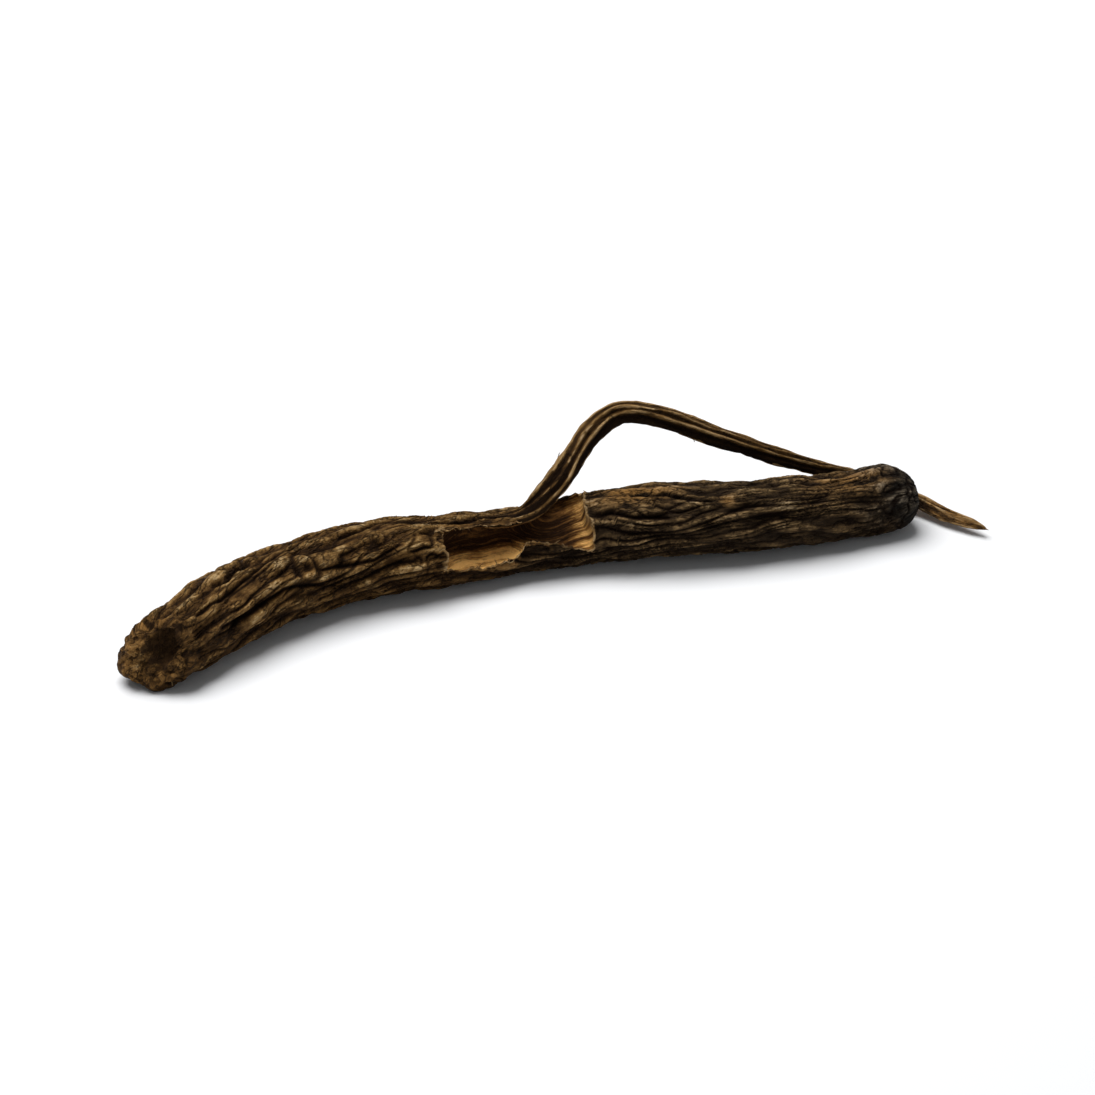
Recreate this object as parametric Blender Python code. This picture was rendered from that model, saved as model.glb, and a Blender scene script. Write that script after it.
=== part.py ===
"""A dried golden eye-grass rhizome: one curved, wrinkled root stock, lying on a surface.

It grew as one piece, so it is one solid. Along its bark run raised wrinkles. One end is broken off
at a slant and has a hollow heart, the other is a rounded knob. Near the middle the bark is torn open
over a smooth trough, and the strip of bark that tore away is still rooted beside the opening: it
arches up and back over the rhizome and passes behind the knob.

Lengths are in millimetres until a mesh is written, and angles round the rhizome are in degrees:
0 faces -Y, 90 is the top, 180 faces +Y and 270 is the underside.
"""

import math

import bmesh
import bpy
import numpy as np

MM = 0.001

# The middle line of the body and its radius: x, y, z, radius, from the broken end to the knob.
BODY_ROUTE = [
    (-36.3, -16.0, 3.0, 3.1),
    (-31.0, -9.4, 3.2, 3.35),
    (-26.1, -4.9, 3.5, 3.35),
    (-21.1, -1.4, 3.55, 3.4),
    (-15.0, 1.2, 3.45, 3.35),
    (-10.0, 2.9, 3.05, 3.2),
    (-4.0, 5.0, 2.75, 3.0),
    (1.2, 6.4, 3.05, 3.15),
    (8.6, 7.2, 3.6, 3.35),
    (16.1, 8.1, 3.55, 3.2),
    (23.5, 10.1, 3.1, 3.1),
    (28.4, 12.0, 2.8, 3.05),
    (32.8, 12.9, 3.2, 2.95),
]
KNOB_LENGTH = 3.4
KNOB_ROUNDNESS = 2.4
KNOB_RING_SHARES = (0.2, 0.38, 0.55, 0.7, 0.82, 0.91, 0.97)
OVAL_SHARE = 0.05
OVAL_ANGLE = 20.0

# Wrinkles of the bark: how many stand round the body, their height, how far they wander round it,
# the pitch of that wandering along it, and its start. They stand higher towards the broken end.
WRINKLES = ((11, 0.23, 1.9, 17.0, 0.4), (5, 0.13, 1.4, 11.0, 2.1), (8, 0.1, 2.6, 7.5, 4.0))
WRINKLE_SHARES = (1.3, 0.9)
WRINKLE_FADE = (20.0, 42.0)
GNARL_HEIGHT = 0.16
GNARL_PITCH = 5.2
GNARL_TURNS = (2, 3)

# Swellings left by side roots: x, angle, reach along, reach round, height.
SWELLINGS = (
    (-29.5, 120.0, 2.6, 2.2, 0.45),
    (-24.0, 42.0, 1.6, 1.3, 0.35),
    (-17.5, 75.0, 2.2, 1.8, 0.35),
    (-14.0, 5.0, 2.0, 1.6, 0.3),
    (5.0, 80.0, 2.4, 2.0, 0.3),
    (12.5, 200.0, 1.8, 1.6, 0.4),
    (17.0, 20.0, 1.6, 1.2, -0.3),
    (20.5, 100.0, 1.8, 1.6, 0.3),
    (29.5, 95.0, 2.6, 2.2, 0.45),
    (-7.0, 235.0, 2.0, 1.6, 0.35),
)

# The broken end: its slant, its rim lumps and the hollow in it.
BREAK_SLANT = 24.0
BREAK_FACES = 45.0
RIM_LUMPS = ((5, 0.3, 0.6), (3, 0.18, 2.0))
RIM_FADE = 4.5
HOLLOW_DEPTH = 1.6
HOLLOW_OFFSET = (1.3, 1.25)
HOLLOW_REACH = (0.2, 0.74)
FACE_BULGE = 0.35

# The torn opening in the bark: x, angle of its lower edge, angle of its upper edge, trough depth.
OPENING = (
    (-11.9, 2.0, 60.0, 1.7),
    (-10.5, -1.0, 60.0, 2.1),
    (-8.0, -3.0, 62.0, 2.2),
    (-6.0, 0.0, 60.0, 2.2),
    (-5.0, 6.0, 58.0, 2.1),
    (-4.4, 27.0, 60.0, 1.8),
    (-3.4, 26.0, 84.0, 1.7),
    (-2.2, 20.0, 112.0, 1.7),
    (-0.6, 10.0, 122.0, 1.5),
    (0.9, 2.0, 124.0, 1.2),
    (2.0, -6.0, 118.0, 0.9),
)
OPENING_WALL = 0.45
TROUGH_FULLNESS = 0.6

# The torn strip: x, y, z of its middle line, how its face turns (y, z), and its half width.
STRIP_ROUTE = [
    (-8.6, 3.1, 5.7, 0.0, 1.0, 1.0),
    (-5.6, 4.1, 5.45, 0.0, 1.0, 1.25),
    (-3.6, 4.5, 5.8, -0.1, 1.0, 1.35),
    (-2.0, 4.9, 7.2, -0.7, 0.75, 1.35),
    (-0.4, 5.9, 8.8, -0.87, 0.5, 1.35),
    (1.0, 7.5, 10.3, -0.87, 0.5, 1.3),
    (2.5, 9.5, 11.6, -0.85, 0.55, 1.25),
    (4.1, 11.0, 12.3, -0.75, 0.65, 1.15),
    (5.8, 11.9, 12.4, -0.7, 0.7, 1.05),
    (8.3, 12.4, 11.8, -0.7, 0.7, 1.05),
    (10.6, 12.9, 10.8, -0.7, 0.7, 1.05),
    (13.6, 13.3, 9.3, -0.65, 0.75, 1.05),
    (16.8, 14.0, 7.7, -0.6, 0.8, 1.0),
    (19.9, 14.4, 6.3, -0.5, 0.87, 0.95),
    (22.6, 15.0, 5.1, -0.4, 0.9, 0.9),
    (25.0, 15.5, 4.1, -0.2, 0.97, 0.85),
    (27.6, 16.3, 2.9, 0.2, 0.97, 0.8),
    (30.5, 16.5, 1.6, 0.2, 0.97, 0.8),
    (33.4, 15.1, 0.95, 0.0, 1.0, 0.85),
    (36.0, 12.7, 0.85, -0.3, 0.95, 0.8),
    (39.2, 10.3, 0.9, -0.3, 0.95, 0.4),
]
STRIP_THICKNESS = 0.85
STRIP_THINNING = 0.45
STRIP_GROOVE = 0.3
GROOVE_REACH = 0.35
STRIP_ROOT_LENGTH = 0.4
STRIP_TIP_LENGTH = 0.5

BODY_SIDES = 44
RING_SPACING = 0.9
STRIP_SIDES = 12
STRIP_RING_SPACING = 1.2
BREAK_RINGS = (0.86, 0.7, 0.54, 0.38, 0.2)

BARK_COLOUR = (0.16, 0.098, 0.048, 1.0)
BARK_ROUGHNESS = 0.78


def clear_scene():
    for thing in list(bpy.data.objects):
        bpy.data.objects.remove(thing, do_unlink=True)


def smooth_route(stations, per_span=24):
    """A smooth curve through every station, in all of its columns, with its length run beside it."""
    points = np.array(stations, float)
    padded = np.vstack([2 * points[0] - points[1], points, 2 * points[-1] - points[-2]])
    steps = np.arange(per_span)[:, None] / per_span
    spans = []
    for before, start, end, after in zip(padded, padded[1:], padded[2:], padded[3:]):
        pull = 2 * start + (end - before) * steps
        bend = (2 * before - 5 * start + 4 * end - after) * steps**2
        turn = (3 * start - before - 3 * end + after) * steps**3
        spans.append((pull + bend + turn) / 2)
    route = np.vstack([*spans, points[-1:]])
    run = np.concatenate([[0.0], np.cumsum(np.linalg.norm(np.diff(route[:, :3], axis=0), axis=1))])
    return run, route


def read_at(places, run, columns):
    """Each column of a route, read at these places along its run."""
    return np.stack([np.interp(places, run, column) for column in columns.T], axis=1)


def directions_along(run, route, places):
    """Unit directions of travel at these places."""
    reach = 0.4
    ahead = read_at(np.minimum(places + reach, run[-1]), run, route[:, :3])
    behind = read_at(np.maximum(places - reach, 0.0), run, route[:, :3])
    travel = ahead - behind
    return travel / np.linalg.norm(travel, axis=1, keepdims=True)


def unit(vectors):
    return vectors / np.linalg.norm(vectors, axis=-1, keepdims=True)


def smoothstep(low, high, value):
    share = np.clip((value - low) / (high - low), 0.0, 1.0)
    return share * share * (3 - 2 * share)


def wrinkle_height(run_at, angle):
    """Raised wrinkles that run along the bark and wander round it."""
    height = np.zeros(np.broadcast(run_at, angle).shape)
    for count, size, wander, pitch, start in WRINKLES:
        phase = count * angle + wander * np.sin(2 * math.pi * run_at / pitch + start)
        height = height + size * np.cos(phase + start)
    bold, fine = WRINKLE_SHARES
    height = height * (bold + (fine - bold) * smoothstep(*WRINKLE_FADE, run_at))
    slow, quick = GNARL_TURNS
    knots = np.sin(2 * math.pi * run_at / GNARL_PITCH + slow * np.sin(quick * angle + 1))
    return height + GNARL_HEIGHT * knots * np.sin(slow * angle + run_at / GNARL_PITCH)


def swelling_height(x_at, angle, radius):
    """Lumps and one dent where side roots grew."""
    height = np.zeros(np.broadcast(x_at, angle).shape)
    for x, towards, reach_along, reach_round, size in SWELLINGS:
        off = np.angle(np.exp(1j * (angle - math.radians(towards)))) * radius
        height = height + size * np.exp(-(((x_at - x) / reach_along) ** 2) - (off / reach_round) ** 2)
    return height


def body_stations(run, route):
    """Places of the rings along the body, with one pair close together at each end of the opening."""
    start, end = np.interp([OPENING[0][0], OPENING[-1][0]], route[:, 0], run)
    last = run[-1]

    def spread(low, high):
        return np.linspace(low, high, max(2, round((high - low) / RING_SPACING) + 1))

    inside = spread(start + OPENING_WALL, end - OPENING_WALL)
    knob = last - KNOB_LENGTH
    turns = np.array(KNOB_RING_SHARES)
    places = np.concatenate([spread(0.0, start), inside, spread(end, knob), knob + KNOB_LENGTH * turns])
    return places, (start, end)


def opening_edges(x_at):
    """Lower and upper edge angles of the opening, and its depth, which is nought outside it."""
    xs, low, high, deep = np.array(OPENING).T
    return np.interp(x_at, xs, low), np.interp(x_at, xs, high), np.interp(x_at, xs, deep)


def ring_angles(low, high):
    """Angles of a ring's corners. A fixed number of them spans the opening, edge to edge."""
    across = BODY_SIDES // 4
    rest = BODY_SIDES - across
    inside = low + (high - low) * np.arange(across)[None, :] / across
    outside = high + (low + 360.0 - high) * np.arange(rest)[None, :] / rest
    return np.radians(np.concatenate([inside, outside], axis=1)), across


def body_rings():
    """Corner points of every ring of the body, from the broken end to the knob."""
    run, route = smooth_route(BODY_ROUTE)
    places, (start, end) = body_stations(run, route)
    stations = read_at(places, run, route)
    centres, radius = stations[:, :3], stations[:, 3:4]
    along = directions_along(run, route, places)
    side = unit(np.cross(along, [0.0, 0.0, 1.0]))
    up = unit(np.cross(side, along))
    low, high, depth = (column[:, None] for column in opening_edges(centres[:, 0]))
    angle, across = ring_angles(low, high)
    run_at, x_at = places[:, None], centres[:, :1]

    knob_start = run[-1] - KNOB_LENGTH
    share = np.clip((run_at - knob_start) / KNOB_LENGTH, 0.0, 1.0)
    closing = (1 - share**KNOB_ROUNDNESS) ** (1 / KNOB_ROUNDNESS)
    oval = 1 + OVAL_SHARE * np.cos(2 * (angle - math.radians(OVAL_ANGLE)))
    calm_knob = 1 - smoothstep(0.2, 1.0, share)
    relief = wrinkle_height(run_at, angle) + swelling_height(x_at, angle, radius)
    surface = radius * closing * oval + relief * calm_knob
    near_break = 1 - smoothstep(0.0, RIM_FADE, run_at)
    for count, size, start_angle in RIM_LUMPS:
        surface = surface + near_break * size * np.cos(count * angle + start_angle)

    facing = np.cos(angle - math.radians(BREAK_FACES))
    slant = near_break * radius * math.tan(math.radians(BREAK_SLANT)) * facing

    def placed(out, turned):
        ring = centres[:, None, :] + (out * np.cos(turned))[:, :, None] * side[:, None, :]
        return ring + (out * np.sin(turned))[:, :, None] * up[:, None, :]

    rings = placed(surface, angle) + slant[:, :, None] * along[:, None, :]

    inside = (places > start + OPENING_WALL / 2) & (places < end - OPENING_WALL / 2)
    for ring in np.flatnonzero(inside):
        first, last = rings[ring, 0], rings[ring, across]
        chord = last - first
        outward = np.cross(along[ring], chord)
        outward = outward / np.linalg.norm(outward)
        middle = (first + last) / 2 - centres[ring]
        outward = outward * np.sign(outward @ middle)
        for corner in range(1, across):
            step = corner / across
            bowl = (1 - (2 * step - 1) ** 2) ** TROUGH_FULLNESS
            rings[ring, corner] = first + chord * step - outward * depth[ring, 0] * bowl
    return rings, along, side, up, route[-1, :3]


def break_face(rim, centre, along, side, up):
    """Rings of the broken end, from its rim in to the bottom of the hollow, and the last point."""
    heart = centre + HOLLOW_OFFSET[0] * side + HOLLOW_OFFSET[1] * up
    spokes = rim - centre
    even = unit(spokes) * np.linalg.norm(spokes, axis=1).mean()
    spread = []
    for share in BREAK_RINGS:
        middle = centre + (heart - centre) * (1 - share)
        sunk = HOLLOW_DEPTH * (1 - smoothstep(*HOLLOW_REACH, share)) - FACE_BULGE * 4 * share * (1 - share)
        flat = middle + (spokes * share + even * (1 - share)) * share
        spread.append(flat + along * sunk)
    return spread, heart + along * HOLLOW_DEPTH


def rested(points):
    """What would reach below the surface is flattened on it: the small flats that the body lies on."""
    points = np.array(points)
    points[..., 2] = np.maximum(points[..., 2], 0.0)
    return points


def skin(name, rings, first_point, last_point):
    """A closed mesh over rings of corners, drawn together to a point at each end."""
    shape = bmesh.new()
    loops = [[shape.verts.new(corner * MM) for corner in ring] for ring in rings]
    for loop, following in zip(loops, loops[1:]):
        count = len(loop)
        for corner in range(count):
            after = (corner + 1) % count
            shape.faces.new((loop[corner], loop[after], following[after], following[corner]))
    for loop, point in ((loops[0], first_point), (loops[-1], last_point)):
        tip = shape.verts.new(point * MM)
        for corner, vertex in enumerate(loop):
            shape.faces.new((vertex, loop[(corner + 1) % len(loop)], tip))
    bmesh.ops.recalc_face_normals(shape, faces=shape.faces)
    bmesh.ops.triangulate(shape, faces=shape.faces)
    mesh = bpy.data.meshes.new(name)
    shape.to_mesh(mesh)
    shape.free()
    return bpy.data.objects.new(name, mesh)


def make_body():
    """The wrinkled body with its torn opening, its broken end and its knob."""
    rings, along, side, up, knob_tip = body_rings()
    rim_middle = rings[0].mean(axis=0)
    face_rings, hollow_bottom = break_face(rings[0], rim_middle, along[0], side[0], up[0])
    all_rings = [*face_rings[::-1], *rings]
    return skin("rhizome", [rested(ring) for ring in all_rings], hollow_bottom, knob_tip)


def strip_section(half_width, thickness):
    """Corners of the strip's section: a thin band with a groove down its outer face."""
    turn = 2 * math.pi * np.arange(STRIP_SIDES) / STRIP_SIDES
    across = half_width * np.cos(turn)
    lift = thickness / 2 * np.sin(turn)
    outer_side = np.maximum(np.sin(turn), 0.0)
    groove = STRIP_GROOVE * outer_side * np.exp(-((across / (GROOVE_REACH * half_width)) ** 2))
    return across, lift - groove


def make_strip():
    """The torn strip of bark, swept along its own route."""
    run, route = smooth_route(STRIP_ROUTE)
    places = np.linspace(0.0, run[-1], round(run[-1] / STRIP_RING_SPACING) + 1)
    stations = read_at(places, run, route)
    along = directions_along(run, route, places)
    face = np.column_stack([np.zeros(len(places)), stations[:, 3], stations[:, 4]])
    broad = unit(np.cross(along, face))
    outer = unit(np.cross(broad, along))
    rings = []
    for centre, width, broad_way, outer_way, place in zip(
        stations[:, :3], stations[:, 5], broad, outer, places
    ):
        thin = STRIP_THICKNESS * (1 - STRIP_THINNING * place / run[-1])
        across, lift = strip_section(width, thin)
        rings.append(centre + np.outer(across, broad_way) + np.outer(lift, outer_way))
    first = stations[0, :3] - along[0] * STRIP_ROOT_LENGTH
    last = stations[-1, :3] + along[-1] * STRIP_TIP_LENGTH
    return skin("torn_strip", rings, first, last)


def bark_material():
    material = bpy.data.materials.new("dried bark")
    material.use_nodes = True
    surface = material.node_tree.nodes["Principled BSDF"]
    surface.inputs["Base Color"].default_value = BARK_COLOUR
    surface.inputs["Roughness"].default_value = BARK_ROUGHNESS
    surface.inputs["Metallic"].default_value = 0.0
    return material


def collection_named(name):
    made = bpy.data.collections.new(name)
    bpy.context.scene.collection.children.link(made)
    return made


def main():
    clear_scene()
    shown = collection_named("golden_eye_grass_rhizome")
    guides = collection_named("joined_shapes")
    body = make_body()
    shown.objects.link(body)
    body.data.materials.append(bark_material())

    strip = make_strip()
    guides.objects.link(strip)
    strip.hide_render = True
    strip.display_type = "WIRE"
    join = body.modifiers.new("strip grown to the bark", "BOOLEAN")
    join.operation = "UNION"
    join.object = strip
    body.data.shade_smooth()


main()
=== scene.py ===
"""A dried golden eye-grass rhizome on a pale surface: the wrinkled bark, the torn opening with its
trough, the broken hollow end, the knob, and the torn strip of bark that arches over the rhizome.

Lengths are in millimetres until a mesh is written. Angles round the rhizome are in degrees: 0 faces -Y,
90 is the top, 180 faces +Y and 270 is the underside.
"""

import math
from types import SimpleNamespace

import bpy
import numpy as np
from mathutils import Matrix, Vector


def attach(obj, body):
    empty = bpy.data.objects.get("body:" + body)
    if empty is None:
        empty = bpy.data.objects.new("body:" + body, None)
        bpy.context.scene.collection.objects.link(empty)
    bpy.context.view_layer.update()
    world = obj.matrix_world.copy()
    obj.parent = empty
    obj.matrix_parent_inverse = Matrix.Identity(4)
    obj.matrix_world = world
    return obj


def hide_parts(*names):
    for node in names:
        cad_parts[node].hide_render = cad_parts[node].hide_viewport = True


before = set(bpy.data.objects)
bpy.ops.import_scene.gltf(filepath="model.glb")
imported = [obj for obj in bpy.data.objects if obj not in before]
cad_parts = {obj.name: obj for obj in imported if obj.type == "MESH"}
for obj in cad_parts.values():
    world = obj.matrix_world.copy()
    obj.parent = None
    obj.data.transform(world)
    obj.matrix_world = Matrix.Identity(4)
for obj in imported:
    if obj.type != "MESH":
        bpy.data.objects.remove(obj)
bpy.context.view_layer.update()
BODY = "root"
NODE = "rhizome"
MM = 0.001

# The middle line of the body and its radius, as in the solid: x, y, z, radius.
BODY_ROUTE = [
    (-36.3, -16.0, 3.0, 3.1),
    (-31.0, -9.4, 3.2, 3.35),
    (-26.1, -4.9, 3.5, 3.35),
    (-21.1, -1.4, 3.55, 3.4),
    (-15.0, 1.2, 3.45, 3.35),
    (-10.0, 2.9, 3.05, 3.2),
    (-4.0, 5.0, 2.75, 3.0),
    (1.2, 6.4, 3.05, 3.15),
    (8.6, 7.2, 3.6, 3.35),
    (16.1, 8.1, 3.55, 3.2),
    (23.5, 10.1, 3.1, 3.1),
    (28.4, 12.0, 2.8, 3.05),
    (32.8, 12.9, 3.2, 2.95),
]
KNOB_LENGTH = 3.4
KNOB_ROUNDNESS = 2.4
OVAL_SHARE = 0.05
OVAL_ANGLE = 20.0

# The main wrinkles, as in the solid: how many stand round the body, height, wander, pitch, start.
WRINKLES = ((11, 0.23, 1.9, 17.0, 0.4), (5, 0.13, 1.4, 11.0, 2.1), (8, 0.1, 2.6, 7.5, 4.0))
WRINKLE_SHARES = (1.3, 0.9)
WRINKLE_FADE = (20.0, 42.0)
# The bark shows this share of them, and its finer ridges take their place.
WRINKLE_SHARE = 0.62
GNARL_HEIGHT = 0.16
GNARL_PITCH = 5.2
GNARL_TURNS = (2, 3)

# Swellings left by side roots, as in the solid: x, angle, reach along, reach round, height.
SWELLINGS = (
    (-29.5, 120.0, 2.6, 2.2, 0.45),
    (-24.0, 42.0, 1.6, 1.3, 0.35),
    (-17.5, 75.0, 2.2, 1.8, 0.35),
    (-14.0, 5.0, 2.0, 1.6, 0.3),
    (5.0, 80.0, 2.4, 2.0, 0.3),
    (12.5, 200.0, 1.8, 1.6, 0.4),
    (17.0, 20.0, 1.6, 1.2, -0.3),
    (20.5, 100.0, 1.8, 1.6, 0.3),
    (29.5, 95.0, 2.6, 2.2, 0.45),
    (-7.0, 235.0, 2.0, 1.6, 0.35),
)

# The broken end, as in the solid.
BREAK_SLANT = 24.0
BREAK_FACES = 45.0
RIM_LUMPS = ((5, 0.3, 0.6), (3, 0.18, 2.0))
RIM_FADE = 4.5
FACE_BULGE = 0.35

# The torn opening, as in the solid: x, angle of its lower edge, angle of its upper edge, trough depth.
OPENING = (
    (-11.9, 2.0, 60.0, 1.7),
    (-10.5, -1.0, 60.0, 2.1),
    (-8.0, -3.0, 62.0, 2.2),
    (-6.0, 0.0, 60.0, 2.2),
    (-5.0, 6.0, 58.0, 2.1),
    (-4.4, 27.0, 60.0, 1.8),
    (-3.4, 26.0, 84.0, 1.7),
    (-2.2, 20.0, 112.0, 1.7),
    (-0.6, 10.0, 122.0, 1.5),
    (0.9, 2.0, 124.0, 1.2),
    (2.0, -6.0, 118.0, 0.9),
)

# The torn strip, as in the solid: x, y, z of its middle line, how its face turns (y, z), half width.
STRIP_ROUTE = [
    (-8.6, 3.1, 5.7, 0.0, 1.0, 1.0),
    (-5.6, 4.1, 5.45, 0.0, 1.0, 1.25),
    (-3.6, 4.5, 5.8, -0.1, 1.0, 1.35),
    (-2.0, 4.9, 7.2, -0.7, 0.75, 1.35),
    (-0.4, 5.9, 8.8, -0.87, 0.5, 1.35),
    (1.0, 7.5, 10.3, -0.87, 0.5, 1.3),
    (2.5, 9.5, 11.6, -0.85, 0.55, 1.25),
    (4.1, 11.0, 12.3, -0.75, 0.65, 1.15),
    (5.8, 11.9, 12.4, -0.7, 0.7, 1.05),
    (8.3, 12.4, 11.8, -0.7, 0.7, 1.05),
    (10.6, 12.9, 10.8, -0.7, 0.7, 1.05),
    (13.6, 13.3, 9.3, -0.65, 0.75, 1.05),
    (16.8, 14.0, 7.7, -0.6, 0.8, 1.0),
    (19.9, 14.4, 6.3, -0.5, 0.87, 0.95),
    (22.6, 15.0, 5.1, -0.4, 0.9, 0.9),
    (25.0, 15.5, 4.1, -0.2, 0.97, 0.85),
    (27.6, 16.3, 2.9, 0.2, 0.97, 0.8),
    (30.5, 16.5, 1.6, 0.2, 0.97, 0.8),
    (33.4, 15.1, 0.95, 0.0, 1.0, 0.85),
    (36.0, 12.7, 0.85, -0.3, 0.95, 0.8),
    (39.2, 10.3, 0.9, -0.3, 0.95, 0.4),
]
STRIP_THICKNESS = 0.85
STRIP_THINNING = 0.45
# How far the strip's section is bowed before and after its kink, where that changes, and which of its
# edges hangs lower.
STRIP_BOW = (0.1, 0.4)
STRIP_BOW_FADE = (9.0, 15.0)
STRIP_LOWER_EDGE = 1.0
# The strip's root lies in the bark: how far its first stations move in y and z, and their half width.
ROOT_SINKING = ((0.95, -0.75, 0.55), (0.3, -0.3, 1.1), (0.0, -0.05, 1.3))
# The cords along the strip: where each lies across it before and after the kink, and how proud it is.
STRIP_CORDS = ((-0.82, -0.9, 0.26), (-0.12, -0.36, 0.3), (0.6, 0.22, 0.27))
CORD_REACH = 0.135
# How far the strip narrows where it rises, its ragged edges, the striae between the cords and the hairs on
# it: noises with their size, pitch across, pitch along and seed.
STRIP_NARROWING = 0.14
RAGGED_EDGES = ((0.1, 0.8, 0.3, 131), (0.07, 1.2, 1.1, 132))
STRIAE_COUNT = 9.5
STRIAE_BEND = (2.2, 0.8, 0.22, 135)
STRIAE_BREAKS = (0.7, 1.6, 0.34, 136)
HAIRS = (1.0, 4.0, 0.9, 137)
CORD_SPARKLE = (0.7, 1.5, 1.6, 181)
# How the cords wander, swell and glint along the strip, and how its edges glint: noises with their size,
# pitch and seed, all read in one row of the noise.
CORD_WANDER = ((0.13, 0.3, 141), (0.05, 1.1, 151))
CORD_SWELL = (0.6, 0.45, 161)
CORD_GLINT = (1.5, 0.7, 171)
EDGE_GLINT = (0.8, 0.8, 191)
UPPER_EDGE_GLINT = (1.0, 0.9, 193)
LINE_ROW = (0.37, 0.61)

# How finely the bark and the strip are meshed.
BODY_SIDES = 208
OPENING_SIDES = 60
RING_SPACING = 0.196
END_RING_SPACING = 0.08
NECK_RING_SPACING = 0.1
FACE_RINGS = 30
KNOB_RINGS = 30
STRIP_SIDES = 64
STRIP_RING_SPACING = 0.14

# The bark's own surface: the girth that its patterns take, and how far the left half's ridges turn round
# it for each millimetre.
GIRTH = 3.2
LEFT_TWIST = 0.042
LEFT_LENGTH = 34.0
# Noises over the bark, each with its size, pitch round, pitch along, seed and shift.
DRIFTS = ((1.7, 0.17, 0.07, 11, 3.7), (0.7, 0.42, 0.16, 12, 3.7), (0.26, 0.8, 0.36, 13, 3.7))
SCAR_BEND = (0.34, 0.6, 0.6, 51, 0.0)
SCAR_UNEVENNESS = (0.5, 0.8, 0.8, 52, 5.0)
FURROW_WAVER = (0.16, 0.5, 0.5, 58, 0.0)
RIDGE_FADING = (0.75, 0.45, 0.14, 65, 0.0)
RIDGE_SHORTNESS = (1.3, 0.9, 0.3, 66, 4.4)
BARK_GRAIN = (0.05, 2.6, 1.5, 71, 0.0)
# Rounded ridges between creases that part and meet again: how many ridges stand round half the body,
# the noises by which they waver and join, half the width of a ridge, and the depth of a crease.
BOLD_RIDGES = (11, (2.0, 0.3, 0.06, 21, 0.0), (0.85, 0.6, 0.18, 22, 6.3), 0.46, 0.36)
RIGHT_RIDGES = (14, (2.4, 0.4, 0.09, 31, 0.0), (1.2, 0.9, 0.36, 32, 6.3), 0.36, 0.28)
FINE_RIDGES = (29, (2.2, 0.5, 0.12, 41, 0.0), (1.1, 1.3, 0.42, 42, 6.3), 0.18, 0.22)
HALVES_FADE = (29.0, 40.0)
# Nets of short splits and of the crumpled bark beside the opening: their noise, half the width of a ridge,
# and the depth of a crease.
SPLITS = ((1.0, 0.55, 1.2, 47, 2.9), 0.18, 0.1)
CRUMPLED_NET = ((1.0, 1.0, 0.75, 61, 2.9), 0.42, 0.26)
# The knob's own net: noises in space, each with its size, pitch, seed and shift, their usual slope, half
# the width of a ridge with the depth of a crease, and where the net takes over, counted from the tip.
KNOB_BEND = ((0.7, 0.4, 55, 0.0),)
KNOB_NET = ((1.0, 0.8, 56, 0.0), (0.4, 1.68, 57, 0.0))
KNOB_SLOPE = 1.36
KNOB_RIDGE = (0.28, 0.26)
KNOB_FADE = (-7.5, -2.6)
# How wide a crease's dark line is, as a share of half its ridge's width, and how deep it is where it is
# fully dark.
CREASE_WIDTH = 0.27
FULL_DEPTH = 0.24

# Deep furrows that the photograph shows: places along the body's run with the angles round it, in order,
# then half their width, their depth, how proud the ridges beside them stand, and how far they fade beyond
# and before their ends.
FURROWS = (
    ((4.2, 60), (7.7, 59), (10.5, 66), (13.4, 78), (16.6, 92), (19.0, 97)),
    ((6.0, 23), (9.0, 20), (11.8, 21), (14.2, 31), (16.1, 24), (18.5, 16)),
    ((8.4, 90), (9.6, 82), (11.0, 93), (12.8, 97)),
    ((22.0, 81), (24.1, 84), (25.6, 96), (28.8, 106)),
    ((27.6, 89), (30.4, 81), (33.2, 80), (35.6, 87), (38.4, 84)),
    ((20.5, 30), (24.3, 31), (26.0, 38), (27.0, 44)),
    ((46.4, 49), (48.1, 50), (50.0, 39), (53.2, 31)),
    ((58.5, 38), (60.0, 45), (62.3, 44)),
    ((50.5, 79), (53.1, 77), (55.0, 62), (57.0, 56)),
)
FURROW_SIZE = (0.2, 0.42, 0.14)
FURROW_FADE = (0.9, 0.6)

# Scars of side roots: x, angle, radius along, radius round, how proud the ring stands, warmth of colour.
SCARS = (
    (-24.5, 46.0, 0.72, 1.15, 1.0, 0.15),
    (-17.4, 59.0, 0.5, 0.45, 0.8, 0.1),
    (-29.0, 118.0, 0.9, 1.1, 1.0, 0.2),
    (14.6, 56.0, 0.7, 0.5, 0.3, 0.8),
    (12.5, 198.0, 1.0, 0.8, 0.9, 0.3),
    (-7.0, 233.0, 0.8, 1.0, 0.8, 0.25),
    (-20.0, 190.0, 0.7, 0.9, 0.9, 0.25),
    (24.0, 150.0, 0.6, 0.8, 0.8, 0.25),
    (1.5, 285.0, 0.6, 0.8, 0.8, 0.2),
    (-31.5, 300.0, 0.8, 0.8, 0.8, 0.2),
)
# Across each scar, in shares of its radius: where the wrinkles calm and where they don't, then where the
# ring, the moat and the pit lie, how far they reach, and their height or depth in millimetres.
SCAR_CALM = (0.9, 1.75)
SCAR_RING = (0.7, 0.3, 0.2)
SCAR_MOAT = (1.15, 0.2, 0.25)
SCAR_PIT = (0.35, 0.05)
# One lens-shaped dent: x, angle, reach along, reach round, depth.
LENS_DENT = (18.3, 28.0, 1.5, 0.42, 0.34)
# The crumpled bark: x, angle, reach along, reach round in degrees.
CRUMPLE = (-13.6, 34.0, 1.9, 28.0)
# Rubbed, golden patches: x, angle, reach along, reach round in degrees, warmth, how smooth.
RUBBED_PATCHES = ((6.2, 84.0, 3.4, 22.0, 1.45, 0.55), (26.0, 80.0, 3.4, 28.0, 0.85, 0.0))
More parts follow.
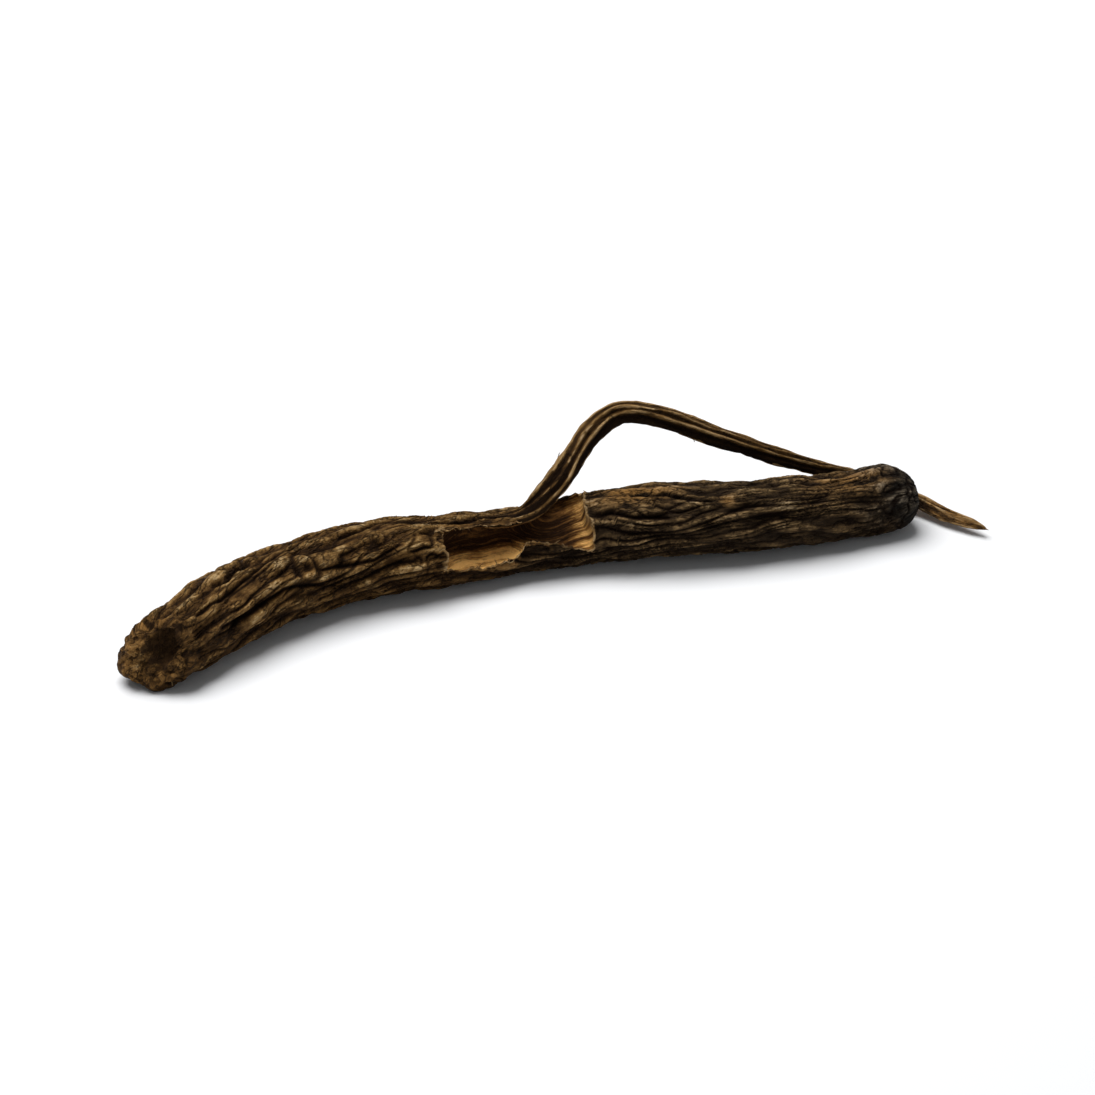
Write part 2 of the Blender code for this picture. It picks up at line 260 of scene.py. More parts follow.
# The painted shade on the underside: the angle it is counted from, and where it starts and is full.
UNDERSIDE_SHADE_ANGLE = 20.0
UNDERSIDE_SHADE_RISE = (0.15, 0.8)

# The broken end: where the bark calms towards it and how calm it gets, the noises in space of its rim and
# of the rim's crumbs, how high the crumbs are, how uneven the rim is and where that ends, how far it turns
# in and from where, where it crumbles, which of its hollows are painted dark as shaded pits, and how uneven
# its slant is.
BREAK_CALM = (0.2, 3.4, 0.3)
RIM_NOISE = ((1.0, 0.8, 93, 0.0), (0.5, 1.9, 94, 0.0))
CRUMBS = ((1.0, 1.5, 95, 0.0),)
CRUMB_HEIGHT = 0.26
RIM_UNEVENNESS = (0.22, 0.4, 3.0)
RIM_TURNED_IN = (0.4, 0.7)
CRUMBLY = (0.5, 0.9)
PITS = (0.12, 0.5)
SLANT_UNEVENNESS = 0.45
# The face inside the rim: the noises of its lumps, its first and last ring as shares of the rim, and how
# deep its hollow is.
FACE_LUMPS = ((0.24, 0.6, 121, 4.0), (0.27, 1.4, 122, 4.0), (0.16, 2.8, 123, 4.0))
FACE_REACHES = (0.975, 0.02)
FACE_HOLLOW = 0.8
# The dark hollow in it: its place to the side and upwards, its reaches, and how its outline bends.
FACE_HEART = (0.95, 1.15)
FACE_REACH = (1.6, 2.15)
HEART_BEND = ((0.3, 0.6, 125, 9.0),)
HEART_EDGE = ((0.25, 1.3, 126, 7.0),)

# The opening's edges: pitch and size in degrees of each of their waves, the row of noise between one wave
# and the next, the seeds of the lower and the upper edge, and how far the upper edge's noise is shifted.
EDGE_WAVES = ((0.9, 3.6), (2.6, 3.4), (5.5, 2.4))
EDGE_ROW = 5.3
EDGE_SEEDS = (81, 83)
UPPER_EDGE_SHIFT = 40.0
# Its jagged ends: pitch and size of each wave, the same kind of row, seed and shift.
END_JAGS = ((0.5, 0.42), (1.5, 0.34), (3.6, 0.2))
END_WIDTH = 3.4
END_ROW = 2.0
END_SEED = 111
END_SHIFT = 8.5
# Its end walls' lengths and undercuts, where its neck is, and how far from its ends the rings' corners
# start to draw together and have done so.
END_WALLS = (0.26, 0.45)
END_UNDERCUTS = (-0.2, 0.25)
NECK = (-5.4, -3.2)
OPENING_NEARNESS = (4.0, 0.6)
# Its lips, and how ragged they are.
LIP_HEIGHT = 0.24
LIP_REACHES = (0.5, 0.24)
LIP_PITCHES = (1.1, 1.4)
LIP_RAGS = ((1.2, 1.0, 91, 0.0), (0.4, 2.3, 92, 0.0))
# The trough: how square it is, the noises of its floor, its lower and upper undercut with their reach, and
# how much shallower its ramp is.
TROUGH_SQUARENESS = 0.42
TROUGH_FIBRE = (0.1, 2.6, 0.3, 101, 0.0)
TROUGH_SWELL = (0.22, 0.5, 0.35, 103, 0.0)
UNDERCUTS = (-0.22, 0.5)
UNDERCUT_REACH = 0.42
RAMP_SHARE = 0.55

# Torn fibres: how many stand on each lip of the opening, its two ends, the broken rim and the strip's
# edges, how long they are, how far above the surface they stay, and their form. Thickness and bend are
# shares of a fibre's length, and a fibre has this many sides and pieces.
FIBRE_COUNTS = {"lips": 26, "ends": 6, "rim": 8, "strip": 4}
FIBRE_REACH = (0.25, 0.75)
FIBRE_CLEARANCE = 0.25
FIBRE_SEED = 2026
FIBRE_SETTINGS = {"Thickness": 0.06, "Bend": 0.24, "Taper": 0.8, "Seed": 7}
FIBRE_SIDES = 5

# How raised the bark looks: how far its level is smoothed to find what stands out nearby and more widely,
# and how much each of them and its warmth count. The colour follows it, so hollows get painted shade and
# crests painted highlight as well as their own browns.
NEAR_STEPS = (1, 2, 4)
WIDE_STEPS = (1, 2, 4, 8, 11)
RAISED_SHARES = (5.5, 0.6, 0.25)
# The golden rim: where along the body, how far it reaches and how golden, all round, and then a painted
# highlight along its top, which has its angle and its reach in degrees. Then how far gold reaches from the
# opening's upper lip, and how golden it is there.
GOLDEN_RIM = (0.3, 0.7, 0.45)
LIT_TOP = (0.5, 0.7, 0.7)
LIT_TOP_ANGLE = (115.0, 35.0)
GOLDEN_LIP = (0.6, 0.8)
# How dark the painted shade is underneath and below the lower lip, and where it begins and is full there.
SHADE_SHARES = (0.4, 0.55)
UNDER_LIP_SHADE = (0.25, 0.8)
# How light the left part's lower wall is painted at the lip and further in, and the right part's floor and
# ramp: painted light where the walls face the lamp, painted shade on the upper wall and the floor.
LEFT_LIT_WALL = (0.92, 0.8)
RIGHT_LIT_RAMP = (0.08, 0.66)
# How pale the torn edges are: the upper one, the lower one from left to right, and the right end. Then how
# far the pale reaches outside and inside.
UPPER_PALE = 0.62
LOWER_PALE = (1.15, 0.75)
END_PALE = 1.05
PALE_REACHES = (0.13, 0.3)
# The hollow's dark mark on the rim: how dark, how far along, its angle and how far round.
RIM_HOLLOW = (0.8, 0.5, 52.0, 1.3)
# What the finish reads at each point of the bark.
TONES = ("raised", "dark", "warm", "run", "torn", "fresh", "lip", "hollow")


def smooth_route(stations, per_span=48):
    """A smooth curve through every station, in all of its columns, with its length run beside it."""
    points = np.array(stations, float)
    padded = np.vstack([2 * points[0] - points[1], points, 2 * points[-1] - points[-2]])
    steps = np.arange(per_span)[:, None] / per_span
    spans = []
    for before, start, end, after in zip(padded, padded[1:], padded[2:], padded[3:]):
        pull = 2 * start + (end - before) * steps
        bend = (2 * before - 5 * start + 4 * end - after) * steps**2
        turn = (3 * start - before - 3 * end + after) * steps**3
        spans.append((pull + bend + turn) / 2)
    route = np.vstack([*spans, points[-1:]])
    run = np.concatenate([[0.0], np.cumsum(np.linalg.norm(np.diff(route[:, :3], axis=0), axis=1))])
    return run, route


def read_at(places, run, columns):
    """Each column of a route, read at these places along its run."""
    return np.stack([np.interp(places, run, column) for column in columns.T], axis=1)


def unit(vectors):
    return vectors / np.linalg.norm(vectors, axis=-1, keepdims=True)


def directions_along(run, route, places):
    """Unit directions of travel at these places."""
    reach = 0.4
    ahead = read_at(np.minimum(places + reach, run[-1]), run, route[:, :3])
    behind = read_at(np.maximum(places - reach, 0.0), run, route[:, :3])
    return unit(ahead - behind)


def smoothstep(low, high, value):
    share = np.clip((value - low) / (high - low), 0.0, 1.0)
    return share * share * (3 - 2 * share)


def hump(distance, reach):
    return np.exp(-((distance / reach) ** 2))


def valley(distance, reach, sharpness):
    """1 on a line and 0 away from it, with steeper sides for a greater sharpness."""
    return np.exp(-((distance / reach) ** sharpness))


def mix(first, second, share):
    return first + (second - first) * share


def gradient_noise(points, seed):
    """Smooth noise, from about -1 to 1, at points in space one cell apart."""
    draw = np.random.default_rng(seed)
    order = draw.permutation(256)
    slopes = unit(draw.normal(size=(256, 3)))
    cell = np.floor(points).astype(int)
    inner = points - cell
    ease = inner**3 * (inner * (inner * 6 - 15) + 10)
    total = np.zeros(points.shape[:-1])
    for corner in np.ndindex(2, 2, 2):
        at = cell + corner
        picked = order[(order[(order[at[..., 0] % 256] + at[..., 1]) % 256] + at[..., 2]) % 256]
        weight = np.where(corner, ease, 1 - ease).prod(axis=-1)
        total += weight * (slopes[picked] * (inner - corner)).sum(axis=-1)
    return total * 1.6


def layered_noise(points, layers):
    """Smooth noise in space, in layers that each have a size, a pitch, a seed and a shift."""
    return sum(size * gradient_noise(points * pitch + shift, seed) for size, pitch, seed, shift in layers)


def noise_along(values, row, seed, shift=0.0):
    """Smooth noise along a line of numbers, another one for each row."""
    return gradient_noise(np.stack([values, values * 0 + row, values * 0], axis=-1) + shift, seed)


def along_each(amounts, directions):
    """Each corner's amount along its own ring's direction."""
    return amounts[:, :, None] * directions[:, None, :]


def bark_place(angle, run_at, pitch_round, pitch_along):
    """A place on the bark as a point in space, where noise closes round the body and stretches along it."""
    run_at = np.broadcast_to(run_at, angle.shape)
    across = GIRTH * pitch_round
    return np.stack([across * np.cos(angle), across * np.sin(angle), run_at * pitch_along], axis=-1)


def bark_noise(angle, run_at, measures):
    """Smooth noise over the bark, with its size, pitch round, pitch along, seed and shift."""
    size, *pitches, seed, shift = measures
    return size * gradient_noise(bark_place(angle, run_at, *pitches) + shift, seed)


def main_wrinkles(run_at, angle):
    """The wrinkles that the solid has, made shallower."""
    height = np.zeros(np.broadcast(run_at, angle).shape)
    for count, size, wander, pitch, start in WRINKLES:
        phase = count * angle + wander * np.sin(2 * math.pi * run_at / pitch + start)
        height = height + size * np.cos(phase + start)
    bold, fine = WRINKLE_SHARES
    height = height * (bold + (fine - bold) * smoothstep(*WRINKLE_FADE, run_at))
    slow, quick = GNARL_TURNS
    knots = np.sin(2 * math.pi * run_at / GNARL_PITCH + slow * np.sin(quick * angle + 1))
    height = height + GNARL_HEIGHT * knots * np.sin(slow * angle + run_at / GNARL_PITCH)
    return height * WRINKLE_SHARE


def round_distance(angle, towards, radius):
    """Distance round the bark from a line at this angle in degrees."""
    return np.angle(np.exp(1j * (angle - np.radians(towards)))) * radius


def swelling_height(x_at, angle, radius):
    """Lumps and one dent where side roots grew, as the solid has them."""
    height = np.zeros(np.broadcast(x_at, angle).shape)
    for x, towards, reach_along, reach_round, size in SWELLINGS:
        off = round_distance(angle, towards, radius)
        height = height + size * hump(x_at - x, reach_along) * hump(off, reach_round)
    return height


def line_distance(field, body):
    """Distance in millimetres from the lines where a field over the bark is nought."""
    angle = body.angle
    apart = GIRTH * ((np.roll(angle, -1, 1) - np.roll(angle, 1, 1)) % (2 * math.pi))
    round_slope = (np.roll(field, -1, 1) - np.roll(field, 1, 1)) / apart
    along_slope = np.gradient(field, axis=0) / np.gradient(body.run_at, axis=0)
    least_slope = 0.05
    return np.abs(field) / (np.hypot(round_slope, along_slope) + least_slope)


def ridge_creases(turned, body, measures):
    """Distance from the nearest of many creases that run along the bark, part and meet again."""
    count, waver, joining = measures[:3]
    wave = bark_noise(turned, body.run_at, waver)
    return line_distance(np.sin(count * turned + wave) + bark_noise(turned, body.run_at, joining), body)


def net_creases(turned, body, net):
    """Distance from the lines of a net of cracks."""
    return line_distance(bark_noise(turned, body.run_at, net[0]), body)


def knob_creases(smooth_form):
    """Distance from a crumpled net of wrinkles that covers the knob as far as its tip."""
    bent = smooth_form + layered_noise(smooth_form, KNOB_BEND)[..., None]
    return np.abs(layered_noise(bent, KNOB_NET)) / KNOB_SLOPE


def rounded(distance, reach):
    """The profile of ridges between sharp creases: 0 in a crease and 1 on a crest."""
    share = np.clip(distance / reach, 0.0, 1.0)
    return np.sqrt(share * (2 - share))


def softened(field, steps):
    """A field over the bark with its small ups and downs smoothed away, more so for longer steps."""
    rows = np.arange(len(field))
    for step in steps:
        behind, ahead = np.maximum(rows - step, 0), np.minimum(rows + step, rows[-1])
        field = (field[behind] + 2 * field + field[ahead]) / 4
        field = (np.roll(field, step, 1) + 2 * field + np.roll(field, -step, 1)) / 4
    return field


def patch_share(body, x, towards, reach_along, reach_round):
    """How far each place belongs to a patch of the bark, from 0 to 1."""
    return hump(body.x_at - x, reach_along) * hump(np.degrees(body.angle) - towards, reach_round)


def scar_marks(body):
    """Low, uneven rings where side roots came off: relief, what is left of the wrinkles, moats, warmth."""
    relief, calm, moats, warm = (np.full(body.angle.shape, value) for value in (0.0, 1.0, 0.0, 0.0))
    bent = bark_noise(body.angle, body.run_at, SCAR_BEND)
    uneven = np.clip(0.9 + bark_noise(body.angle, body.run_at, SCAR_UNEVENNESS), 0.6, 1.2)
    ring_at, ring_reach, ring_height = SCAR_RING
    moat_at, moat_reach, moat_depth = SCAR_MOAT
    pit_reach, pit_depth = SCAR_PIT
    for x, towards, reach_along, reach_round, proud, warmth in SCARS:
        off = round_distance(body.angle, towards, body.radius)
        distance = np.hypot((body.x_at - x) / reach_along, off / reach_round) * (1 + bent)
        calm = calm * (1 - (1 - smoothstep(*SCAR_CALM, distance)) * min(1.0, 0.3 + 0.65 * proud))
        ring = hump(distance - ring_at, ring_reach) * uneven
        moat = hump(distance - moat_at, moat_reach) * uneven * proud
        raised = ring_height * ring - pit_depth * hump(distance, pit_reach)
        relief = relief + proud * raised - moat_depth * moat
        moats = np.maximum(moats, 0.8 * moat)
        warm = warm + warmth * hump(distance, 0.9)
    return relief, calm, moats, warm


def furrow_marks(body):
    """Deep furrows with a raised ridge on either side: their relief, and how dark they are, partly painted
    shade in the furrow.
    """
    half_width, depth, proud = FURROW_SIZE
    outer, inner = FURROW_FADE
    relief, dark = np.zeros(body.angle.shape), np.zeros(body.angle.shape)
    waver = bark_noise(body.angle, body.run_at, FURROW_WAVER)
    for furrow in FURROWS:
        along, towards = np.array(furrow, float).T
        off = round_distance(body.angle, np.interp(body.run_at, along, towards), body.radius)
        off = np.abs(off + waver)
        ends = smoothstep(along[0] - outer, along[0] + inner, body.run_at)
        ends = ends * (1 - smoothstep(along[-1] - inner, along[-1] + outer, body.run_at))
        relief = relief - depth * ends * valley(off, half_width, 1.4)
        relief = relief + proud * ends * hump(off - 2.4 * half_width, 0.3)
        dark = np.maximum(dark, ends * valley(off, 0.8 * half_width, 1.6))
    return relief, dark


def ridge_sets(body):
    """Ridges, bold on the left half and finer on the right, with smaller ones on both, splits and the
    knob's net: the distance from each set's creases, half the width and depth, and its share."""
    drift = sum(bark_noise(body.angle, body.run_at, measures) for measures in DRIFTS)
    turned = body.angle + drift / GIRTH - LEFT_TWIST * np.minimum(body.run_at, LEFT_LENGTH)
    finer = smoothstep(*HALVES_FADE, body.run_at)
    knob_from, knob_to = KNOB_FADE
    knobby = smoothstep(body.length + knob_from, body.length + knob_to, body.run_at)
    fading = 0.85 + bark_noise(body.angle, body.run_at, RIDGE_FADING)
    fading = np.clip(fading, 0.25 + 0.3 * finer, 1.25)
    short = np.clip(0.6 + bark_noise(turned, body.run_at, RIDGE_SHORTNESS), 0.0, 1.3)
    right_share = finer * fading * (1 - 0.85 * knobby)
    split_share = short * (0.5 + 0.5 * finer) * (1 - 0.6 * knobby)
    return (
        (ridge_creases(turned, body, BOLD_RIDGES), BOLD_RIDGES[-2:], (1 - finer) * fading),
        (ridge_creases(turned, body, RIGHT_RIDGES), RIGHT_RIDGES[-2:], right_share),
        (ridge_creases(turned, body, FINE_RIDGES), FINE_RIDGES[-2:], short * (1 - 0.75 * knobby)),
        (net_creases(turned, body, SPLITS), SPLITS[-2:], split_share),
        (knob_creases(body.smooth_form), KNOB_RIDGE, knobby),
    )


def bark_surface(body):
    """Fine relief of the bark in millimetres, how dark its creases, furrows, moats and dents are (partly
    the bark's own dark creases, partly painted shade in them), and its warm patches.
    """
    relief, calm, dark, warm = scar_marks(body)
    furrows, furrow_dark = furrow_marks(body)
    relief = relief + furrows
    dark = np.maximum(dark, furrow_dark)

    # Beside the opening the bark is crumpled into small lumps, with painted shade between them.
    crumpled = patch_share(body, *CRUMPLE)
    lumps = net_creases(body.angle, body, CRUMPLED_NET)
    reach, height = CRUMPLED_NET[-2:]
    relief = relief + height * crumpled * (2 * rounded(lumps, reach) - 1)
    calm = calm * (1 - 0.75 * crumpled)
    dark = np.maximum(dark, crumpled * valley(lumps, 0.2, 1.3))

    # One lens-shaped dent with a raised rim, painted darker inside, partly as shade, and rubbed patches on
    # the top.
    x, towards, reach_along, reach_round, depth = LENS_DENT
    off = round_distance(body.angle, towards, body.radius)
    lens = np.hypot((body.x_at - x) / reach_along, off / reach_round)
    relief = relief - depth * hump(lens, 0.8) + 0.12 * hump(lens - 1.5, 0.35)
    dark = np.maximum(dark, hump(lens, 0.75))
    for *patch, warmth, smooth in RUBBED_PATCHES:
        rubbed = patch_share(body, *patch)
        warm = warm + warmth * rubbed
        calm = calm * (1 - smooth * rubbed)

    for distance, (reach, depth), share in ridge_sets(body):
        relief = relief + depth * (rounded(distance, reach) - 0.72) * calm * share
        crease = valley(distance, CREASE_WIDTH * reach, 1.5) * calm * share
        dark = np.maximum(dark, crease * min(1.0, depth / FULL_DEPTH))
    relief = relief + bark_noise(body.angle, body.run_at, BARK_GRAIN)
    return relief, np.clip(dark, 0.0, 1.0), warm


def body_places(marks, last):
    """Places of the rings along the body, close together at the opening's ends and neck and at the ends."""
    start, neck_start, neck_end, end = marks

    def spread(low, high, spacing):
        return np.linspace(low, high, max(2, round((high - low) / spacing)), endpoint=False)

    knob = last - KNOB_LENGTH
    near = 0.6
    turns = np.sin(math.pi / 2 * np.arange(KNOB_RINGS) / KNOB_RINGS) ** (2 / KNOB_ROUNDNESS)
    return np.concatenate(
        [
            spread(0.0, near, END_RING_SPACING * 1.4),
            spread(near, start - near, RING_SPACING),
            spread(start - near, start + near, END_RING_SPACING),
            spread(start + near, neck_start, RING_SPACING),
            spread(neck_start, neck_end, NECK_RING_SPACING),
            spread(neck_end, end - near, RING_SPACING),
            spread(end - near, end + near, END_RING_SPACING),
            spread(end + near, knob, RING_SPACING),
            knob + KNOB_LENGTH * turns,
        ]
    )


def opening_edges(x_at):
    """Lower and upper edge angles of the opening, which waver, and its depth."""
    xs, low, high, deep = np.array(OPENING).T
    lower, upper = np.interp(x_at, xs, low), np.interp(x_at, xs, high)
    lower_seed, upper_seed = EDGE_SEEDS
    for step, (pitch, size) in enumerate(EDGE_WAVES):
        place, row = x_at * pitch, EDGE_ROW * step
        lower = lower + size * noise_along(place, row, lower_seed + step)
        upper = upper + size * noise_along(place, row, upper_seed + step, UPPER_EDGE_SHIFT)
    return lower, upper, np.interp(x_at, xs, deep)


def calmed(line, run_at, reach=1.0):
    """Numbers or points along the body with their small waves smoothed away."""
    weights = hump(run_at - run_at.T, reach)
    return np.tensordot(weights / weights.sum(axis=1, keepdims=True), line, 1)


def ring_angles(low, high, nearness):
    """Angles of a ring's corners, close together at the opening's edges and even away from it."""
    even = np.arange(OPENING_SIDES)[None, :] / OPENING_SIDES
    across = mix(even, (1 - np.cos(math.pi * even)) / 2, nearness)
    half = mix(180.0 * OPENING_SIDES / BODY_SIDES, (high - low) / 2, nearness)
    middle = (low + high) / 2
    rest = BODY_SIDES - OPENING_SIDES
    inside = middle - half + 2 * half * across
    outside = middle + half + (360.0 - 2 * half) * np.arange(rest)[None, :] / rest
    return np.radians(np.concatenate([inside, outside], axis=1)), across


def body_form():
    """The smooth body as rings of points from the broken end to the knob, and what the bark reads of it."""
    run, route = smooth_route(BODY_ROUTE)
    marks = np.interp([OPENING[0][0], *NECK, OPENING[-1][0]], route[:, 0], run)
    start, end = marks[0], marks[-1]
    places = body_places(marks, run[-1])
    stations = read_at(places, run, route)
    centres, radius = stations[:, :3], stations[:, 3:4]
    along = directions_along(run, route, places)
    side = unit(np.cross(along, [0.0, 0.0, 1.0]))
    up = unit(np.cross(side, along))
    low, high, depth = (column[:, None] for column in opening_edges(centres[:, 0]))
    run_at = places[:, None]
    off_along = np.maximum(np.maximum(start - run_at, run_at - end), 0.0)
    angle, across = ring_angles(low, high, smoothstep(*OPENING_NEARNESS, off_along))

    # The smooth form, and the way out of it, which turns ahead over the knob.
    knob_share = np.clip((run_at - run[-1] + KNOB_LENGTH) / KNOB_LENGTH, 0.0, 1.0)
    closing = (1 - knob_share**KNOB_ROUNDNESS) ** (1 / KNOB_ROUNDNESS)
    oval = 1 + OVAL_SHARE * np.cos(2 * (angle - math.radians(OVAL_ANGLE)))
    spoke = along_each(np.cos(angle), side) + along_each(np.sin(angle), up)
    leaving = closing ** (KNOB_ROUNDNESS - 1) / radius
    heading = knob_share ** (KNOB_ROUNDNESS - 1) / KNOB_LENGTH
    return SimpleNamespace(
        length=run[-1],
        start=start,
        end=end,
        open_rows=np.searchsorted(places, (start, end)),
        centres=centres,
        radius=radius,
        along=along,
        side=side,
        up=up,
        low=low,
        high=high,
        depth=depth,
        run_at=run_at,
        off_along=off_along,
        angle=angle,
        across=across,
        x_at=centres[:, :1] + 0 * angle,
        knob_share=knob_share,
        smooth_form=centres[:, None, :] + (radius * closing * oval)[:, :, None] * spoke,
        outward=unit(leaving[:, :, None] * spoke + along_each(heading, along)),
        tip=route[-1, :3],
    )


def bark_level(body):
    """How far the bark stands out of the smooth form, and how raised, dark and warm it is."""
    fine, dark, warm = bark_surface(body)
    bold = main_wrinkles(body.run_at, body.angle) + swelling_height(body.x_at, body.angle, body.radius)
    level = bold * (1 - smoothstep(0.2, 1.0, body.knob_share))
    level = level + fine * (1 - smoothstep(0.97, 1.0, body.knob_share))
    calm_from, calm_to, least = BREAK_CALM
    level = level * mix(least, 1.0, smoothstep(calm_from, calm_to, body.run_at))
    near, wide = (level - softened(level, steps) for steps in (NEAR_STEPS, WIDE_STEPS))
    near_share, wide_share, warm_share = RAISED_SHARES
    raised = np.clip(near_share * near + wide_share * wide + warm_share * warm, -1.0, 1.0)
    return level, raised, dark, warm


def broken_rim(body):
    """The lumpy, crumbly rim of the broken end: its level, its slant along the body, and its pits, the low
    places between crumbs, which are painted dark as shade.
    """
    near_break = 1 - smoothstep(0.0, RIM_FADE, body.run_at)
    level = 0.0
    for count, size, turned in RIM_LUMPS:
        level = level + near_break * size * np.cos(count * body.angle + turned)
    uneven = layered_noise(body.smooth_form, RIM_NOISE)
    height, *fade = RIM_UNEVENNESS
    level = level + height * uneven * (1 - smoothstep(*fade, body.run_at))
    turned_in, reach = RIM_TURNED_IN
    level = level - turned_in * (1 - smoothstep(0.0, reach, body.run_at)) ** 2
    crumbs = layered_noise(body.smooth_form, CRUMBS)
    crumbly_at, reach = CRUMBLY
    crumbly = hump(body.run_at - crumbly_at, reach)
    level = level + CRUMB_HEIGHT * crumbs * crumbly
    # The pits are painted dark: painted shade in the rim's hollows.
    pits = crumbly * smoothstep(*PITS, -crumbs)
    facing = np.cos(body.angle - math.radians(BREAK_FACES))
    slant = near_break * body.radius * math.tan(math.radians(BREAK_SLANT)) * facing
    return level, slant + SLANT_UNEVENNESS * near_break**4 * uneven, pits


def opening_lips(body):
    """The ragged lips of the opening, which curl outwards, and how far each place lies from them."""
    turn = np.degrees(body.angle)
    past_upper = np.minimum(turn - body.high, 360.0 + body.low - turn)
    off_round = np.maximum(np.maximum(body.low - turn, 0.0), past_upper)
    off_round = np.radians(np.maximum(off_round, 0.0)) * body.radius
    off = np.hypot(off_round, body.off_along)
    reach = mix(*LIP_REACHES, smoothstep(body.start - 1.0, body.start + 1.6, body.run_at))
    lip = hump(off, reach)
    rags = layered_noise(bark_place(body.angle, body.run_at, *LIP_PITCHES), LIP_RAGS)
    ragged = np.clip(0.55 + rags, 0.0, 1.4)
    flap = 1 - smoothstep(body.start - 0.2, body.start + 1.2, body.run_at)
    level = LIP_HEIGHT * lip * (0.35 + 0.75 * ragged) * (1 + 0.5 * flap)
    return SimpleNamespace(
        turn=turn, off_round=off_round, off=off, lip=lip, ragged=ragged, flap=flap, level=level
    )


def carve_trough(body, rings):
    """The torn trough, below the chord from one edge of the opening to the other, put into the rings."""
    start, end, run_at, across = body.start, body.end, body.run_at, body.across
    left_wall, right_wall = END_WALLS
    walled = smoothstep(start, start + left_wall, run_at) * (1 - smoothstep(end - right_wall, end, run_at))
    first, last = rings[:, :1], rings[:, OPENING_SIDES : OPENING_SIDES + 1]
    calm_first, calm_last = calmed(first, run_at), calmed(last, run_at)
    chord = calm_last - calm_first
    away = unit(np.cross(body.along[:, None, :], chord))
    middle = (first + last) / 2 - body.centres[:, None, :]
    away = away * np.sign((away * middle).sum(-1, keepdims=True))
    bowl = (1 - (2 * across - 1) ** 2) ** TROUGH_SQUARENESS
    half = 1 - np.abs(2 * across - 1)
    inner_angle = np.radians(mix(calmed(body.low, run_at), calmed(body.high, run_at), across))
    rough = bark_noise(inner_angle, run_at, TROUGH_FIBRE) + bark_noise(inner_angle, run_at, TROUGH_SWELL)
    ramp = smoothstep(end - 3.2, end - 0.3, run_at) * smoothstep(1.2, 0.4, across)
    sunk = body.depth * bowl * (1 - RAMP_SHARE * ramp) + rough * half
    lower, upper = UNDERCUTS
    under = np.where(across < 0.5, lower, upper) * np.sin(math.pi * np.clip(half / UNDERCUT_REACH, 0, 1))
    inner = smoothstep(0.0, 0.2, half)[:, :, None]
    share = across[:, :, None]
    trough = mix(first, last, share) * (1 - inner) + (calm_first + chord * share) * inner
    trough = trough - away * sunk[:, :, None] + unit(chord) * under[:, :, None]
    rings[:, :OPENING_SIDES] = mix(rings[:, :OPENING_SIDES], trough, walled[:, :, None])

    # The ends of the opening are jagged, and their walls are undercut.
    jag = np.zeros(across.shape)
    for step, (pitch, size) in enumerate(END_JAGS):
        place, row = across * END_WIDTH * pitch, END_ROW * step
        jag = jag + size * noise_along(place, row, END_SEED + step, END_SHIFT)
    fade = hump(body.off_along + np.maximum(np.minimum(run_at - start, end - run_at), 0.0), 0.8)
    tucked = np.sin(math.pi * walled) * np.where(run_at < (start + end) / 2, *END_UNDERCUTS)
    moved = fade * jag * smoothstep(0.0, 0.08, half) + tucked * (half > 0)
    rings[:, :OPENING_SIDES] += along_each(moved, body.along)
    return SimpleNamespace(walled=walled, half=half, sunk=sunk, inner_angle=inner_angle)


def golden_and_lit_bark(body, lips):
    """How golden the bark is on the rim, with a painted highlight along the rim's top, and beside the
    opening's upper lip.
    """
    (rim_at, rim_reach, rim_share), (top_at, top_reach, top_share) = GOLDEN_RIM, LIT_TOP
    top_angle, round_reach = LIT_TOP_ANGLE
    golden = rim_share * hump(body.run_at - rim_at, rim_reach)
    # A painted highlight along the top of the rim, where the lamp catches it.
    top = hump(body.run_at - top_at, top_reach) * hump(lips.turn - top_angle, round_reach)
    reach, lip_share = GOLDEN_LIP
    beside = smoothstep(0.0, 10.0, lips.turn - body.high) * hump(lips.off, reach)
    begun = smoothstep(body.start - 0.5, body.start + 1.0, body.run_at)
    return golden + top_share * top + lip_share * beside * begun * (body.run_at < body.end - 4.0)


def painted_underside_shade(body, lips):
    """Painted shade: how much darker the underside is painted, and the bark just below the opening's lower
    lip, which the lip shades.
    """
    beside = smoothstep(body.start - 1.0, body.start + 1.0, body.run_at)
    beside = beside * (1 - smoothstep(body.end - 0.5, body.end + 1.0, body.run_at))
    under_share, lower_share = SHADE_SHARES
    under = smoothstep(*UNDERSIDE_SHADE_RISE, -np.sin(body.angle - math.radians(UNDERSIDE_SHADE_ANGLE)))
    below = smoothstep(*UNDER_LIP_SHADE, lips.off_round) * (np.sin(body.angle) < 0.3)
    return np.maximum(under_share * under, lower_share * beside * below)


def painted_trough_light(body):
    """Painted light and shade in the torn trough: lightest on the left part's lower wall and on the right
    ramp, dark on the upper wall and the floor.
    """
    left = mix(*LEFT_LIT_WALL, smoothstep(0.03, 0.3, body.across))
    left = (1 - smoothstep(0.3, 0.54, body.across)) * left
    floor, ramp = RIGHT_LIT_RAMP
    right = floor + ramp * smoothstep(body.end - 2.4, body.end - 0.2, body.run_at)
    return mix(left, right, smoothstep(-5.0, -2.6, body.x_at[:, :OPENING_SIDES]))


